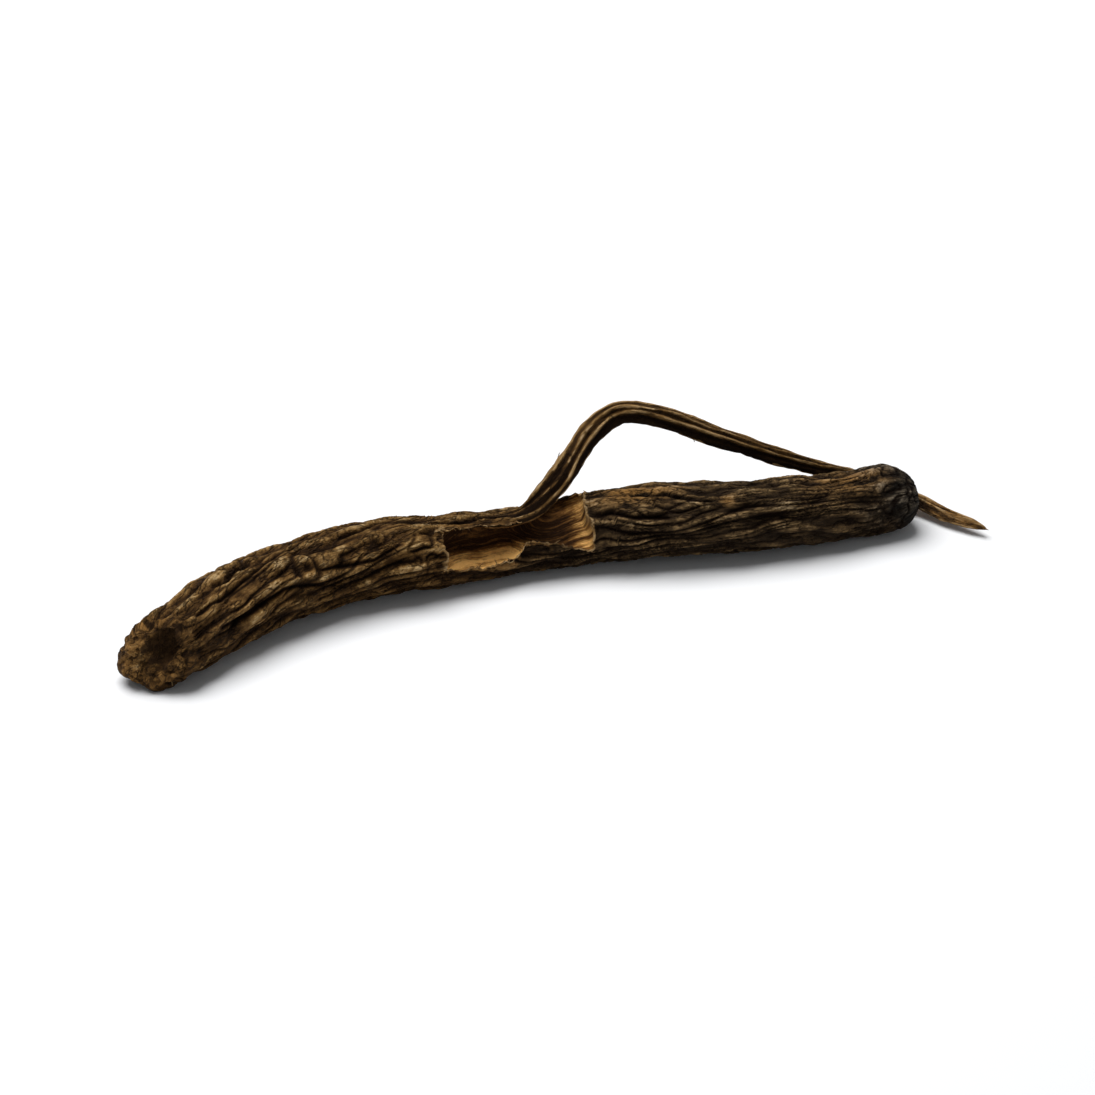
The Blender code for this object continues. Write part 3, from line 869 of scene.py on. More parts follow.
def pale_lips(body, lips, trough):
    """How pale the torn edges of the opening are, outside and inside."""
    outer_reach, inner_reach = PALE_REACHES
    lower_share = mix(*LOWER_PALE, smoothstep(-5.0, -3.5, body.x_at))
    edge_share = np.where(lips.turn > (body.low + body.high) / 2, UPPER_PALE, lower_share)
    edge_share = np.where(body.run_at > body.end - 0.6, END_PALE, edge_share)
    curled = lips.lip * lips.ragged * (1 + 0.6 * lips.flap)
    rim = np.maximum(curled, edge_share * hump(lips.off, outer_reach))
    inner = hump(body.off_along + 0 * body.across, inner_reach) * (1 - trough.walled)
    inner = np.maximum(hump(trough.sunk, inner_reach) * trough.walled, inner)
    inner = inner * np.maximum(lips.ragged[:, :OPENING_SIDES], 0.7 * edge_share[:, :OPENING_SIDES])
    rim[:, :OPENING_SIDES] = np.maximum(rim[:, :OPENING_SIDES] * (1 - trough.walled), inner)
    return np.clip(rim, 0.0, 1.0)


def body_grid():
    """The bark as a grid of points from the broken end to the knob, and what its finish reads."""
    body = body_form()
    level, raised, dark, warm = bark_level(body)
    rim_level, slant, pits = broken_rim(body)
    lips = opening_lips(body)
    level = level + rim_level + lips.level
    rings = body.smooth_form + level[:, :, None] * body.outward + along_each(slant, body.along)
    trough = carve_trough(body, rings)

    torn, fresh = np.zeros(body.angle.shape), np.zeros(body.angle.shape)
    torn[:, :OPENING_SIDES] = trough.walled * smoothstep(0.0, 0.05, trough.half)
    fresh[:, :OPENING_SIDES] = painted_trough_light(body)
    calm_from, calm_to = BREAK_CALM[:2]
    near_break = mix(0.5, 1.0, smoothstep(calm_from, calm_to, body.run_at))
    hollow_share, reach_along, towards, reach_round = RIM_HOLLOW
    heart = hump(round_distance(body.angle, towards, body.radius), reach_round)
    tones = {
        # The bark is painted darker underneath and below the lower lip: painted shade.
        "raised": np.clip(raised - painted_underside_shade(body, lips), -1.0, 1.0) * (1 - torn),
        "dark": np.maximum(dark * (1 - torn) * near_break, 0.8 * pits),
        "warm": (warm + golden_and_lit_bark(body, lips)) * (1 - torn),
        "run": body.run_at / body.length + 0 * body.angle,
        "torn": torn,
        "fresh": fresh,
        "lip": pale_lips(body, lips, trough),
        "hollow": hollow_share * hump(body.run_at, reach_along) * heart,
    }
    turned = body.angle.copy()
    turned[:, :OPENING_SIDES] = mix(turned[:, :OPENING_SIDES], trough.inner_angle, trough.walled)
    turned = turned - LEFT_TWIST * np.minimum(body.run_at, LEFT_LENGTH)
    body.rings, body.tones = rings, tones
    body.pattern = bark_place(turned, body.run_at, 1.0, 1.0)
    return body


def broken_face(body):
    """Rings of the broken end, from inside its rim to its middle, and what its finish reads."""
    rim, along, side, up = body.rings[0], body.along[0], body.side[0], body.up[0]
    centre = rim.mean(axis=0)
    spokes = rim - centre
    even = unit(spokes) * np.linalg.norm(spokes, axis=1).mean()
    (heart_across, heart_above), (reach_across, reach_above) = FACE_HEART, FACE_REACH
    tones = {label: [] for label in TONES}
    rings = []
    for share in np.linspace(*FACE_REACHES, FACE_RINGS):
        flat = centre + (spokes * share + even * (1 - share)) * share
        across, above = (flat - centre) @ side, (flat - centre) @ up
        distance = np.hypot((across - heart_across) / reach_across, (above - heart_above) / reach_above)
        distance = distance * (1 + layered_noise(flat, HEART_BEND))
        deep = 1 - smoothstep(0.45, 1.0, distance)
        bulge = FACE_BULGE * 4 * share * (1 - share) + 0.35 * (1 - share**8)
        lumps = layered_noise(flat, FACE_LUMPS) * smoothstep(1.0, 0.82, share) * (1 - 0.5 * deep)
        sunk = FACE_HOLLOW * deep - bulge * (1 - deep) - lumps
        rings.append(flat + along * sunk[:, None])
        # The lumps' tops are painted lighter and warmer and the hollows between them darker: partly their
        # own colour, partly painted highlight and shade.
        found = {
            "hollow": 1 - smoothstep(0.72, 1.02, distance + layered_noise(flat, HEART_EDGE)),
            "raised": np.clip(0.15 + 3.2 * lumps, -1.0, 1.0),
            "dark": np.clip(-0.3 - 3.2 * lumps, 0.0, 0.95),
            "warm": np.clip(0.3 + 2.6 * lumps, 0.0, 1.0) * smoothstep(0.1, 0.6, share),
        }
        for label in TONES:
            tones[label].append(found.get(label, 0 * lumps))
    rings = np.array(rings)
    slope = math.sqrt(0.5)
    pattern = np.stack([rings @ (side - up) * slope, rings @ along, rings @ (side + up) * slope], axis=-1)
    return rings, tones, pattern


def rested(points):
    """What would reach below the surface is flattened on it: the small flats that the body lies on."""
    points = np.array(points)
    points[..., 2] = np.maximum(points[..., 2], 0.0)
    return points


def skin(name, grid, first_point, last_point, tones, pattern):
    """A closed mesh over a grid of points, drawn together to a point at each end, with its tones."""
    rings, sides = grid.shape[:2]
    points = np.vstack([grid.reshape(-1, 3), [first_point, last_point]]) * MM
    index = np.arange(rings * sides).reshape(rings, sides)
    nearer, further = index[:-1], index[1:]
    quads = np.stack([nearer, np.roll(nearer, -1, 1), np.roll(further, -1, 1), further], axis=-1)
    faces = quads.reshape(-1, 4).tolist()
    for loop, tip, turned in ((index[0], rings * sides, True), (index[-1], rings * sides + 1, False)):
        after = np.roll(loop, -1)
        pair = (after, loop) if turned else (loop, after)
        faces += [(int(a), int(b), tip) for a, b in zip(*pair)]
    mesh = bpy.data.meshes.new(name)
    mesh.from_pydata(points.tolist(), [], faces)
    for label, values in tones.items():
        flat = np.append(values.reshape(-1), [values[0].mean(), values[-1].mean()])
        layer = mesh.attributes.new(label, "FLOAT", "POINT")
        layer.data.foreach_set("value", flat.astype(np.float32))
    ends = [pattern[0].mean(axis=0), pattern[-1].mean(axis=0)]
    layer = mesh.attributes.new("pattern", "FLOAT_VECTOR", "POINT")
    layer.data.foreach_set("vector", np.vstack([pattern.reshape(-1, 3), ends]).astype(np.float32).ravel())
    mesh.shade_smooth()
    mesh.update()
    piece = bpy.data.objects.new(name, mesh)
    bpy.context.collection.objects.link(piece)
    return piece


def make_bark(body):
    """The rhizome's own body with its opening, its broken end and its knob."""
    face, face_tones, face_pattern = broken_face(body)
    tones = {label: np.vstack([face_tones[label][::-1], body.tones[label]]) for label in TONES}
    whole = rested(np.concatenate([face[::-1], body.rings]))
    pattern = np.concatenate([face_pattern[::-1], body.pattern])
    return skin("rhizome_bark", whole, face[-1].mean(axis=0), body.tip, tones, pattern)


def strip_form():
    """The strip's rings: where each one lies, its directions, its width and the angles of its corners."""
    stations = np.array(STRIP_ROUTE)
    for station, (sideways, sunk, half_width) in zip(stations, ROOT_SINKING):
        station[1] += sideways
        station[2] += sunk
        station[5] = half_width
    run, route = smooth_route(stations)
    places = np.linspace(0.0, run[-1], round(run[-1] / STRIP_RING_SPACING) + 1)
    stations = read_at(places, run, route)
    rising = smoothstep(3.0, 5.0, places) * (1 - smoothstep(13.0, 18.0, places))
    along = directions_along(run, route, places)
    face = np.column_stack([np.zeros(len(places)), stations[:, 3], stations[:, 4]])
    broad = unit(np.cross(along, face))
    return SimpleNamespace(
        length=run[-1],
        run_at=places[:, None],
        centres=stations[:, :3],
        width=stations[:, 5:6] * (1 - STRIP_NARROWING * rising[:, None]),
        along=along,
        broad=broad,
        outer=unit(np.cross(broad, along)),
        turn=2 * math.pi * np.arange(STRIP_SIDES)[None, :] / STRIP_SIDES,
    )


def strip_noise(strip, measures, step=0):
    """Smooth noise over the strip, with its size, pitch across, pitch along and seed."""
    size, pitch_across, pitch_along, seed = measures
    across, above = pitch_across * np.cos(strip.turn), pitch_across * np.sin(strip.turn)
    place = np.stack(np.broadcast_arrays(across, above, strip.run_at * pitch_along), axis=-1)
    return size * gradient_noise(place, seed + step)


def line_noise(strip, measures, step=0):
    """Smooth noise along the strip and the same all round it, with its size, pitch and seed."""
    size, pitch, seed = measures
    place = strip.run_at * pitch
    row, layer = LINE_ROW
    place = np.stack([place, place * 0 + row, place * 0 + layer], axis=-1)
    return size * gradient_noise(place, seed + step)


def strip_cords(strip, over, arched):
    """The cords along the strip: how proud they stand, how near each place is to one, and their glints."""
    proud, cords, pale = (np.zeros(over.shape) for _ in range(3))
    for step, (before, after, height) in enumerate(STRIP_CORDS):
        middle = mix(before, after, arched) + sum(line_noise(strip, bend, step) for bend in CORD_WANDER)
        swell = np.clip(0.8 + line_noise(strip, CORD_SWELL, step), 0.25, 1.2)
        cord = hump((over - middle) * strip.width, CORD_REACH * (0.75 + 0.4 * swell)) * swell
        proud = proud + height * cord
        cords = np.maximum(cords, cord)
        glint = 0.7 + 0.35 * arched + line_noise(strip, CORD_GLINT, step)
        glint = np.clip(glint + strip_noise(strip, CORD_SPARKLE, step), 0, 1)
        pale = np.maximum(pale, smoothstep(0.4, 0.85, cord) * glint)
    return proud, cords, pale


def strip_grid():
    """The torn strip of bark as a grid of points: cords and creases outside, a smooth inner face."""
    strip = strip_form()
    run_at, rise = strip.run_at, np.sin(strip.turn)
    ragged = 1 + sum(strip_noise(strip, measures) for measures in RAGGED_EDGES)
    across = strip.width * ragged * np.cos(strip.turn)
    over = across / strip.width
    arched = smoothstep(*STRIP_BOW_FADE, run_at)
    outside = smoothstep(-0.1, 0.3, rise)
    proud, cords, pale = strip_cords(strip, over, arched)
    striae = np.sin(STRIAE_COUNT * over + strip_noise(strip, STRIAE_BEND))
    striae = striae + strip_noise(strip, STRIAE_BREAKS)
    hairs = strip_noise(strip, HAIRS)
    thin = STRIP_THICKNESS * (1 - STRIP_THINNING * run_at / strip.length)
    lift = thin / 2 * np.sign(rise) * np.abs(rise) ** 0.7 + 0.035 * hairs
    lift = lift + outside * (proud + 0.045 * striae - 0.14)
    lift = lift + mix(*STRIP_BOW, arched) * (1 - np.clip(over, -1, 1) ** 2)
    taper = np.clip(np.minimum(run_at / 2.2, (strip.length - run_at) / 1.6), 0.0, 1.0) ** 0.6
    taper = mix(0.15, 1.0, taper)
    across, lift = across * taper, lift * taper

    # Past the kink the lower half of the strip is painted darker and its pale lines dimmed: painted shade
    # on the side that faces down.
    lower = smoothstep(-0.05, 0.55, over * STRIP_LOWER_EDGE) * arched
    torn_edge = np.clip(0.3 + 1.3 * hairs + line_noise(strip, EDGE_GLINT), 0, 1)
    torn_edge = torn_edge * hump(np.abs(over) - 1.0, 0.12)
    upper_edge = np.clip(0.85 + line_noise(strip, UPPER_EDGE_GLINT), 0.2, 1)
    upper_edge = upper_edge * hump(over * STRIP_LOWER_EDGE + 0.93, 0.13)
    # The pale lines are the cords' and edges' own pale colour broken by painted glints, painted brighter on
    # the arch as highlight.
    pale = np.maximum(outside * pale, upper_edge) * (1 - 0.7 * lower) * mix(1.0, 1.5, arched)
    pale = 1.15 * np.maximum(torn_edge, pale) * smoothstep(2.0, 6.0, run_at)
    # The tip is painted warmer and paler: its own orange with a painted highlight.
    tip = smoothstep(strip.length - 8.0, strip.length - 4.5, run_at)
    dark = mix(0.85, 0.5, arched) * smoothstep(0.45, 0.05, cords) + 0.4 * lower
    raised = 1.5 * cords - mix(0.4, 0.0, arched) + 0.4 * striae - 0.4 * lower
    blank = 0 * across
    strip.tones = {
        "raised": np.clip(raised, -1, 1) * outside,
        "dark": np.clip(outside * dark * (1 - 0.7 * tip), 0, 1),
        "warm": 0.1 + 0.85 * tip + blank,
        "run": 0.36 + blank,
        "torn": 1 - outside + blank,
        "fresh": 0.3 + 0.25 * hairs + blank,
        "lip": np.clip(pale + 0.35 * tip, 0, 1),
        "hollow": blank,
    }
    strip.pattern = np.stack(np.broadcast_arrays(across + 20.0, lift * 1.5, run_at), axis=-1)
    moved = along_each(across, strip.broad) + along_each(lift, strip.outer)
    strip.rings = strip.centres[:, None, :] + moved
    return strip


def make_strip(strip):
    """The torn strip of bark that leaves the band above the opening and arches over the rhizome."""
    first = rested(strip.centres[0] - strip.along[0] * 0.15)
    last = rested(strip.centres[-1] + strip.along[-1] * 0.3)
    return skin("torn_strip", rested(strip.rings), first, last, strip.tones, strip.pattern)


def torn_edges(body, strip):
    """The ragged edges that fibres stand on: their points, the ways off them and along, and how many."""
    start, end = body.open_rows
    rings, outward, along = body.rings, body.outward, body.along
    middle = slice(start + 6, end - 6)
    across = slice(4, OPENING_SIDES - 4)
    gap = unit(rings[middle, OPENING_SIDES] - rings[middle, 0])
    upper = outward[middle, OPENING_SIDES] - gap
    yield rings[middle, 0], gap + outward[middle, 0], along[middle], FIBRE_COUNTS["lips"]
    yield rings[middle, OPENING_SIDES], upper, along[middle], FIBRE_COUNTS["lips"]
    yield rings[start, across], along[start] + outward[start, across], gap[:1], FIBRE_COUNTS["ends"]
    yield rings[end, across], outward[end, across] - along[end], gap[-1:], FIBRE_COUNTS["ends"]
    yield rings[1], 0.5 * outward[1] - along[1], 0.4 * outward[1], FIBRE_COUNTS["rim"]
    rows = slice(60, -4)
    lengthways = 3 * strip.along[rows]
    yield strip.rings[rows, 0], strip.broad[rows], lengthways, FIBRE_COUNTS["strip"]
    yield strip.rings[rows, STRIP_SIDES // 2], -strip.broad[rows], lengthways, FIBRE_COUNTS["strip"]


def fibre_roots(body, strip):
    """Where torn fibres stand on the ragged edges, which way each one leans and how long it is."""
    draw = np.random.default_rng(FIBRE_SEED)
    places, leans = [], []
    for points, away, lengthways, count in torn_edges(body, strip):
        picked = draw.integers(0, len(points), count)
        lengthways = np.broadcast_to(lengthways, points.shape)[picked] * draw.normal(0.0, 1.1, (count, 1))
        lean = unit(unit(away[picked]) * draw.uniform(0.3, 1.0, (count, 1)) + lengthways)
        lean = unit(lean + draw.normal(0.0, 0.2, (count, 3)))
        places.append(points[picked] - 0.12 * unit(away[picked]))
        leans.append(lean)
    places = np.concatenate(places)
    leans = np.concatenate(leans)
    reaches = draw.uniform(*FIBRE_REACH, len(places)) * draw.uniform(0.6, 1.0, len(places))
    clear = np.minimum(places[:, 2], (places + leans * reaches[:, None])[:, 2]) > FIBRE_CLEARANCE
    return places[clear], leans[clear], reaches[clear]


def give(tree, socket, value):
    """Gives a node's input its value, which may be another node's output."""
    if isinstance(value, bpy.types.NodeSocket):
        tree.links.new(value, socket)
    else:
        socket.default_value = value


def add_node(tree, kind, settings=None, **inputs):
    """A new node in a tree, with its settings and its inputs."""
    made = tree.nodes.new(kind)
    for label, value in (settings or {}).items():
        setattr(made, label, value)
    for label, value in inputs.items():
        give(tree, made.inputs[label], value)
    return made


def sums(tree, operation, first, second=None, third=None):
    """One, two or three numbers joined by a sum of this kind."""
    made = add_node(tree, "ShaderNodeMath", {"operation": operation})
    for slot, value in enumerate((first, second, third)):
        if value is not None:
            give(tree, made.inputs[slot], value)
    return made.outputs[0]


def fibre_tree():
    """Geometry nodes that stand one bent, tapered fibre on each root."""
    tree = bpy.data.node_groups.new("torn_fibres", "GeometryNodeTree")
    for label, kind in (
        ("Roots", "NodeSocketGeometry"),
        ("Thickness", "NodeSocketFloat"),
        ("Bend", "NodeSocketFloat"),
        ("Taper", "NodeSocketFloat"),
        ("Seed", "NodeSocketInt"),
        ("Finish", "NodeSocketMaterial"),
    ):
        tree.interface.new_socket(label, in_out="INPUT", socket_type=kind)
    tree.interface.new_socket("Fibres", in_out="OUTPUT", socket_type="NodeSocketGeometry")
    given = tree.nodes.new("NodeGroupInput").outputs

    def point(x, z):
        return add_node(tree, "ShaderNodeCombineXYZ", X=x, Z=z).outputs[0]

    def attribute(label, kind):
        made = add_node(tree, "GeometryNodeInputNamedAttribute", {"data_type": kind}, Name=label)
        return made.outputs["Attribute"]

    # One fibre, one millimetre long until it is scaled: a bent line that narrows to its tip.
    line = add_node(tree, "GeometryNodeCurveQuadraticBezier", Resolution=FIBRE_SIDES)
    for label, place in (
        ("Start", point(0.0, 0.0)),
        ("Middle", point(given["Bend"], 0.5)),
        ("End", point(0.0, 1.0)),
    ):
        give(tree, line.inputs[label], place)
    place = tree.nodes.new("GeometryNodeSplineParameter").outputs["Factor"]
    width = sums(tree, "SUBTRACT", 1.0, sums(tree, "MULTIPLY", place, given["Taper"]))
    tapered = add_node(tree, "GeometryNodeSetCurveRadius", Curve=line.outputs[0], Radius=width)
    girth = {"Resolution": FIBRE_SIDES, "Radius": given["Thickness"]}
    ring = add_node(tree, "GeometryNodeCurvePrimitiveCircle", **girth)
    shape = add_node(tree, "GeometryNodeCurveToMesh", Curve=tapered.outputs[0])
    give(tree, shape.inputs["Profile Curve"], ring.outputs[0])
    give(tree, shape.inputs["Fill Caps"], True)

    # Each root gets one, turned at random about its lean, with a shade of its own.
    whole_turn = {"Max": (0.0, 0.0, 2 * math.pi), "Seed": given["Seed"]}
    spin = add_node(tree, "FunctionNodeRandomValue", {"data_type": "FLOAT_VECTOR"}, **whole_turn)
    aimed = add_node(
        tree,
        "FunctionNodeAlignRotationToVector",
        {"axis": "Z"},
        Rotation=spin.outputs["Value"],
        Vector=attribute("lean", "FLOAT_VECTOR"),
    )
    stood = add_node(
        tree,
        "GeometryNodeInstanceOnPoints",
        Points=given["Roots"],
        Instance=shape.outputs[0],
        Rotation=aimed.outputs[0],
        Scale=attribute("reach", "FLOAT"),
    )
    shade = add_node(tree, "FunctionNodeRandomValue", Seed=given["Seed"])
    shaded = add_node(tree, "GeometryNodeStoreNamedAttribute", {"domain": "INSTANCE"}, Name="shade")
    give(tree, shaded.inputs["Geometry"], stood.outputs[0])
    give(tree, shaded.inputs["Value"], shade.outputs[1])
    real = add_node(tree, "GeometryNodeRealizeInstances", Geometry=shaded.outputs[0])
    coated = add_node(tree, "GeometryNodeSetMaterial", Geometry=real.outputs[0], Material=given["Finish"])
    end = tree.nodes.new("NodeGroupOutput")
    tree.links.new(coated.outputs[0], end.inputs["Fibres"])
    return tree


def make_fibres(roots, finish):
    """Torn fibres on the opening's lips, the broken rim and the strip's edges."""
    places, leans, reaches = roots
    mesh = bpy.data.meshes.new("fibre_roots")
    mesh.from_pydata((places * MM).tolist(), [], [])
    lean = mesh.attributes.new("lean", "FLOAT_VECTOR", "POINT")
    lean.data.foreach_set("vector", leans.astype(np.float32).ravel())
    reach = mesh.attributes.new("reach", "FLOAT", "POINT")
    reach.data.foreach_set("value", (reaches * MM).astype(np.float32))
    piece = bpy.data.objects.new("torn_fibres", mesh)
    bpy.context.collection.objects.link(piece)
    sprout = piece.modifiers.new("torn_fibres", "NODES")
    sprout.node_group = fibre_tree()
    wanted = {**FIBRE_SETTINGS, "Finish": finish}
    for socket in sprout.node_group.interface.items_tree:
        if socket.name in wanted:
            sprout[socket.identifier] = wanted[socket.name]
    view = bpy.context.evaluated_depsgraph_get()
    grown = piece.evaluated_get(view)
    grown = bpy.data.meshes.new_from_object(grown, preserve_all_data_layers=True, depsgraph=view)
    piece.modifiers.clear()
    piece.data = grown
    grown.shade_smooth()
    return piece


def colour_mix(tree, share, first, second):
    """One colour mixed into another by a share from 0 to 1."""
    made = add_node(tree, "ShaderNodeMix", {"data_type": "RGBA"})
    share_slot, first_slot, second_slot, colour_slot = 0, 6, 7, 2
    for slot, value in ((share_slot, share), (first_slot, first), (second_slot, second)):
        give(tree, made.inputs[slot], value)
    return made.outputs[colour_slot]


def product(tree, first, second):
    return sums(tree, "MULTIPLY", first, second)


def varied(tree, value, noise, size):
    """A number moved up and down by noise of this size."""
    return sums(tree, "MULTIPLY_ADD", sums(tree, "SUBTRACT", noise, 0.5), size, value)


def tone(tree, label):
    """One of the bark's tones, read from its mesh."""
    return add_node(tree, "ShaderNodeAttribute", {"attribute_name": label}).outputs["Fac"]


def spread_of(tree, value, low, high):
    """A number stretched so that low becomes 0 and high becomes 1, held between them."""
    reach = {"From Min": low, "From Max": high}
    made = add_node(tree, "ShaderNodeMapRange", {"interpolation_type": "SMOOTHSTEP"}, Value=value, **reach)
    return made.outputs["Result"]


def colour_band(tree, value, stops):
    """A band of colours, each at its place from 0 to 1."""
    made = add_node(tree, "ShaderNodeValToRGB", Fac=value)
    band = made.color_ramp
    for step, (place, colour) in enumerate(stops):
        stop = band.elements[step] if step < 2 else band.elements.new(place)
        stop.position = place
        stop.color = (*colour, 1.0)
    return made.outputs["Color"]


def noise_in(tree, vector, measures):
    """Noise with its scale, detail, stretch along the bark and roughness."""
    scale, detail, stretch, rough = measures
    scaled = add_node(tree, "ShaderNodeMapping", Vector=vector, Scale=(1.0, 1.0, stretch)).outputs[0]
    made = add_node(tree, "ShaderNodeTexNoise", Vector=scaled, Scale=scale, Detail=detail, Roughness=rough)
    return made.outputs["Fac"]


def crack_lines(tree, vector, measures, width):
    """Thin lines that wander and meet over the bark: 1 in a line and 0 away from it."""
    off = sums(tree, "ABSOLUTE", sums(tree, "SUBTRACT", noise_in(tree, vector, measures), 0.5))
    return sums(tree, "SUBTRACT", 1.0, spread_of(tree, off, 0.0, width))


# Colours of the finish, as linear shares of red, green and blue.
# The near-black of creases, cracks and threads: partly the bark's own dark, partly painted shade.
GROOVE_BROWN = (0.0078, 0.003, 0.0009)
LEFT_BROWNS = (
    (0.0, (0.017, 0.0077, 0.0024)),
    (0.3, (0.05, 0.0235, 0.007)),
    (0.58, (0.134, 0.068, 0.02)),
    (0.84, (0.3, 0.17, 0.057)),
    (1.0, (0.56, 0.375, 0.175)),
)
RIGHT_BROWNS = (
    (0.0, (0.0125, 0.0068, 0.003)),
    (0.34, (0.032, 0.019, 0.009)),
    (0.62, (0.086, 0.052, 0.0225)),
    (0.84, (0.255, 0.161, 0.07)),
    (1.0, (0.5, 0.35, 0.19)),
)
KNOB_BROWNS = (
    (0.0, (0.004, 0.003, 0.0021)),
    (0.38, (0.0125, 0.0098, 0.007)),
    (0.64, (0.056, 0.044, 0.0305)),
    (1.0, (0.36, 0.29, 0.205)),
)
# The trough's browns, from its painted shade to its painted light; the strip's inner face takes a middle
# tone of them.
TROUGH_BROWNS = (
    (0.0, (0.026, 0.01, 0.003)),
    (0.42, (0.16, 0.07, 0.018)),
    (0.74, (0.56, 0.29, 0.085)),
    (1.0, (0.98, 0.56, 0.18)),
)
LIP_TANS = ((0.0, (0.15, 0.08, 0.027)), (0.45, (0.42, 0.25, 0.098)), (1.0, (0.78, 0.55, 0.3)))
WARM_ORANGE = (0.4, 0.2, 0.056, 1.0)
HOLLOW_BROWN = (0.031, 0.0148, 0.0062, 1.0)
FIBRE_BROWNS = ((0.0, (0.045, 0.0235, 0.009)), (0.6, (0.14, 0.08, 0.032)), (1.0, (0.38, 0.265, 0.135)))
# Noises of the finish: scale, detail, stretch along the bark, roughness.
BLOTCHES = (0.4, 4.0, 0.5, 0.55)
STREAKS = (2.4, 6.0, 0.2, 0.7)
SPECKS = (3.8, 4.0, 0.6, 0.65)
PATCHES = (0.55, 2.0, 0.6, 0.55)
TORN_GRAIN = (3.4, 5.0, 0.08, 0.65)
FINE_BUMPS = (9.0, 4.0, 0.45, 0.65)
LINE_BUMPS = (2.2, 5.0, 0.2, 0.66)
FIBRE_GRAIN = (4000.0, 2.0, 1.0, 0.55)
# Thin cracks and thinner threads: their noise, and their width.
CRACKS = ((1.2, 3.0, 0.3, 0.5), 0.042)
THREADS = ((2.7, 3.0, 0.4, 0.5), 0.05)
BUMP_DISTANCE = 0.00036
SHEEN = 0.06


def blank_finish(name):
    """A new material whose tree is empty."""
    material = bpy.data.materials.new(name)
    material.use_nodes = True
    material.node_tree.nodes.clear()
    return material


def finish_end(tree, colour, rough, height, strength):
    """The shader at the end of a finish, with a fine bump."""
    bump = add_node(tree, "ShaderNodeBump", Height=height, Strength=strength, Distance=BUMP_DISTANCE)
    shader = add_node(tree, "ShaderNodeBsdfPrincipled", Roughness=rough, Normal=bump.outputs[0])
    tree.links.new(colour, shader.inputs["Base Color"])
    shader.inputs["Specular IOR Level"].default_value = SHEEN
    end = add_node(tree, "ShaderNodeOutputMaterial")
    tree.links.new(shader.outputs[0], end.inputs["Surface"])


def whole_bark(tree, read, noise):
    """The whole bark: near-black creases and golden crests, partly their own colour and partly painted
    shade and highlight, warm patches, and the dark, grey-brown knob.
    """
    # The browns run from the hollows, painted darker as shade, to the crests, painted lighter as highlight.
    height = sums(tree, "MULTIPLY_ADD", read.raised, 0.36, 0.48)
    for moved_by, size in ((noise.blotch, 0.5), (noise.streak, 1.25), (noise.speck, 0.55)):
        height = varied(tree, height, moved_by, size)
    left = colour_band(tree, height, LEFT_BROWNS)
    right = colour_band(tree, height, RIGHT_BROWNS)
    knob = colour_band(tree, height, KNOB_BROWNS)
    wandering = varied(tree, read.run, noise.blotch, 0.25)
    colour = colour_mix(tree, spread_of(tree, wandering, 0.4, 0.6), left, right)
    colour = colour_mix(tree, spread_of(tree, wandering, 0.9, 0.98), colour, knob)
    warm_share = product(tree, product(tree, read.warm, spread_of(tree, height, 0.3, 0.75)), 0.7)
    colour = colour_mix(tree, warm_share, colour, WARM_ORANGE)
    # Creases, cracks and threads are painted near-black: partly their own colour, partly painted shade.
    groove_share = product(tree, spread_of(tree, read.dark, 0.1, 0.8), 0.9)
    for lines, depth in ((noise.cracks, 0.8), (noise.threads, 0.6)):
        groove_share = sums(tree, "MAXIMUM", groove_share, product(tree, lines, depth))
    return colour_mix(tree, groove_share, colour, (*GROOVE_BROWN, 1.0))


def torn_bark(tree, read, noise, colour):
    """The torn trough with its painted light and shade, the pale, fibrous lips and the dark hollow, laid
    over the whole bark's colour.
    """
    # The trough's colour follows its painted light and shade: light on the lower wall and the right ramp,
    # dark above.
    lit = read.fresh
    for moved_by, size in ((noise.fibre, 2.6), (noise.speck, 0.7), (noise.blotch, 0.6)):
        lit = varied(tree, lit, moved_by, size)
    colour = colour_mix(tree, read.torn, colour, colour_band(tree, lit, TROUGH_BROWNS))
    broken = varied(tree, varied(tree, read.lip, noise.streak, 0.9), noise.fibre, 0.8)
    lip_share = product(tree, spread_of(tree, broken, 0.35, 0.95), spread_of(tree, read.lip, 0.1, 0.35))
    lip_tan = colour_band(tree, varied(tree, 0.5, noise.fibre, 2.2), LIP_TANS)
    colour = colour_mix(tree, lip_share, colour, lip_tan)
    hollow_share = product(tree, spread_of(tree, read.hollow, 0.0, 0.8), 0.85)
    return colour_mix(tree, hollow_share, colour, HOLLOW_BROWN)


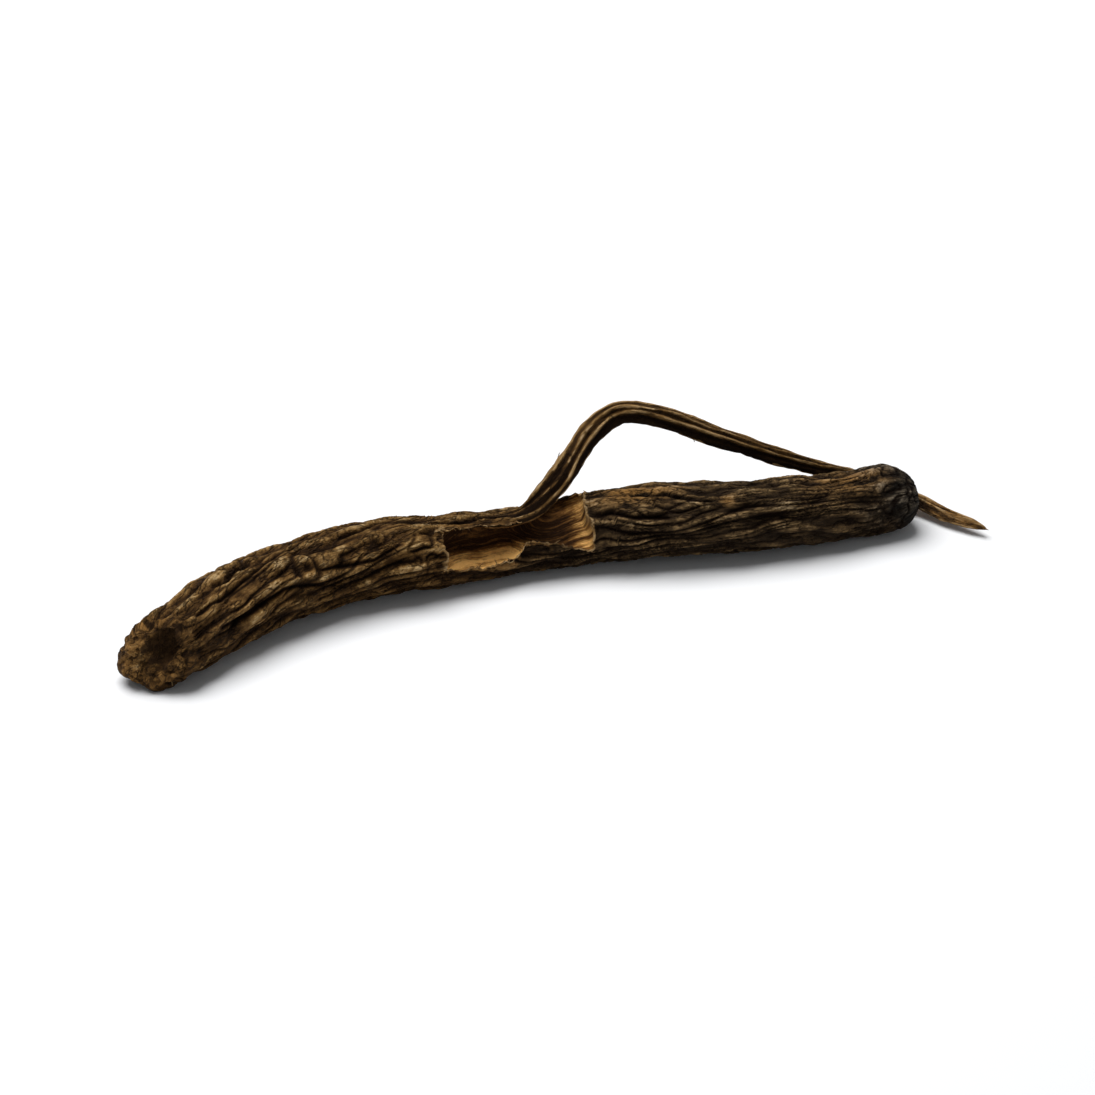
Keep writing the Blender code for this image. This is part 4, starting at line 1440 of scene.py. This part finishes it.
def bark_finish():
    """Dried bark, whole and torn, with a fine bump of streaks, cracks and threads."""
    material = blank_finish("dried_bark")
    tree = material.node_tree
    pattern = add_node(tree, "ShaderNodeAttribute", {"attribute_name": "pattern"}).outputs["Vector"]
    read = SimpleNamespace(**{label: tone(tree, label) for label in TONES})
    noise = SimpleNamespace(
        blotch=noise_in(tree, pattern, BLOTCHES),
        streak=noise_in(tree, pattern, STREAKS),
        speck=noise_in(tree, pattern, SPECKS),
        fibre=noise_in(tree, pattern, TORN_GRAIN),
    )
    bare = sums(tree, "SUBTRACT", 1.0, read.torn)
    patch = spread_of(tree, noise_in(tree, pattern, PATCHES), 0.36, 0.6)
    noise.cracks = product(tree, crack_lines(tree, pattern, *CRACKS), bare)
    noise.threads = product(tree, product(tree, crack_lines(tree, pattern, *THREADS), patch), bare)
    colour = torn_bark(tree, read, noise, whole_bark(tree, read, noise))

    rough = sums(tree, "MULTIPLY_ADD", read.dark, 0.25, 0.5)
    rough = sums(tree, "MULTIPLY_ADD", noise.speck, 0.2, rough)
    height = noise_in(tree, pattern, FINE_BUMPS)
    lines = noise_in(tree, pattern, LINE_BUMPS)
    for carved, depth in ((lines, 2.0), (noise.cracks, -0.7), (noise.threads, -0.45)):
        height = sums(tree, "MULTIPLY_ADD", carved, depth, height)
    finish_end(tree, colour, rough, height, 0.9)
    return material


def fibre_finish():
    """Dry torn fibres, some pale and some brown."""
    material = blank_finish("torn_fibre")
    tree = material.node_tree
    place = add_node(tree, "ShaderNodeTexCoord").outputs["Object"]
    grain = noise_in(tree, place, FIBRE_GRAIN)
    colour = colour_band(tree, varied(tree, tone(tree, "shade"), grain, 0.4), FIBRE_BROWNS)
    finish_end(tree, colour, 0.65, grain, 0.3)
    return material


# The pale surface, the sky, and the lamps: where each one stands, its size and its power, in metres and
# watts. They all face the rhizome.
FLOOR_REACH = 3.0
FLOOR_DROP = 0.00002
PAPER = (0.8, 0.805, 0.815, 1.0)
PAPER_ROUGHNESS = 0.9
SKY = (0.97, 0.985, 1.0, 1.0)
SKY_STRENGTH = 0.19
LAMPS = {
    "overhead": ((-0.12, 0.1, 0.48), 0.5, 3.9),
    "front_fill": ((0.2, -0.5, 0.3), 0.4, 0.15),
}


def make_floor():
    """A pale floor that runs out of sight."""
    reach = FLOOR_REACH
    corners = [(-reach, -reach, 0), (reach, -reach, 0), (reach, reach, 0), (-reach, reach, 0)]
    mesh = bpy.data.meshes.new("floor")
    mesh.from_pydata(corners, [], [(0, 1, 2, 3)])
    floor = bpy.data.objects.new("floor", mesh)
    bpy.context.collection.objects.link(floor)
    floor.location.z = -FLOOR_DROP
    paper = bpy.data.materials.new("pale_paper")
    paper.use_nodes = True
    surface = paper.node_tree.nodes["Principled BSDF"]
    surface.inputs["Base Color"].default_value = PAPER
    surface.inputs["Roughness"].default_value = PAPER_ROUGHNESS
    mesh.materials.append(paper)


def light_scene():
    """Soft light from above and a little behind, and an even pale sky."""
    world = bpy.data.worlds.new("pale_sky")
    world.use_nodes = True
    sky = world.node_tree.nodes["Background"]
    sky.inputs["Color"].default_value = SKY
    sky.inputs["Strength"].default_value = SKY_STRENGTH
    bpy.context.scene.world = world
    for name, (place, size, power) in LAMPS.items():
        light = bpy.data.lights.new(name, "AREA")
        light.shape = "DISK"
        light.size = size
        light.energy = power
        lamp = bpy.data.objects.new(name, light)
        lamp.location = place
        lamp.rotation_euler = (-Vector(place)).to_track_quat("-Z", "Y").to_euler()
        bpy.context.collection.objects.link(lamp)
    bpy.context.scene.view_settings.view_transform = "Standard"


# The camera looks along the photograph's line of sight, from its distance, with the object larger.
SIGHT_POINT = (-1.5, 8.5, 0.0)
SIGHT_DISTANCE = 450.0
SIGHT_ELEVATION = 30.0
SENSOR_WIDTH = 36.0
LENS = 160.0


def set_camera():
    camera = bpy.data.cameras.new("camera")
    camera.sensor_width = SENSOR_WIDTH
    camera.lens = LENS
    camera.clip_start = 0.01
    rise = math.radians(SIGHT_ELEVATION)
    back = Vector((0.0, -math.cos(rise), math.sin(rise))) * SIGHT_DISTANCE
    viewer = bpy.data.objects.new("camera", camera)
    viewer.location = (Vector(SIGHT_POINT) + back) * MM
    viewer.rotation_euler = (math.pi / 2 - rise, 0.0, 0.0)
    bpy.context.collection.objects.link(viewer)
    bpy.context.scene.camera = viewer


def settle(piece, material=None):
    """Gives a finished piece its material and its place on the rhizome."""
    if material is not None:
        piece.data.materials.append(material)
    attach(piece, BODY)
    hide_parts(NODE)


set_camera()
bark_material = bark_finish()
body, strip = body_grid(), strip_grid()
settle(make_bark(body), bark_material)
settle(make_strip(strip), bark_material)
settle(make_fibres(fibre_roots(body, strip), fibre_finish()))
make_floor()
light_scene()
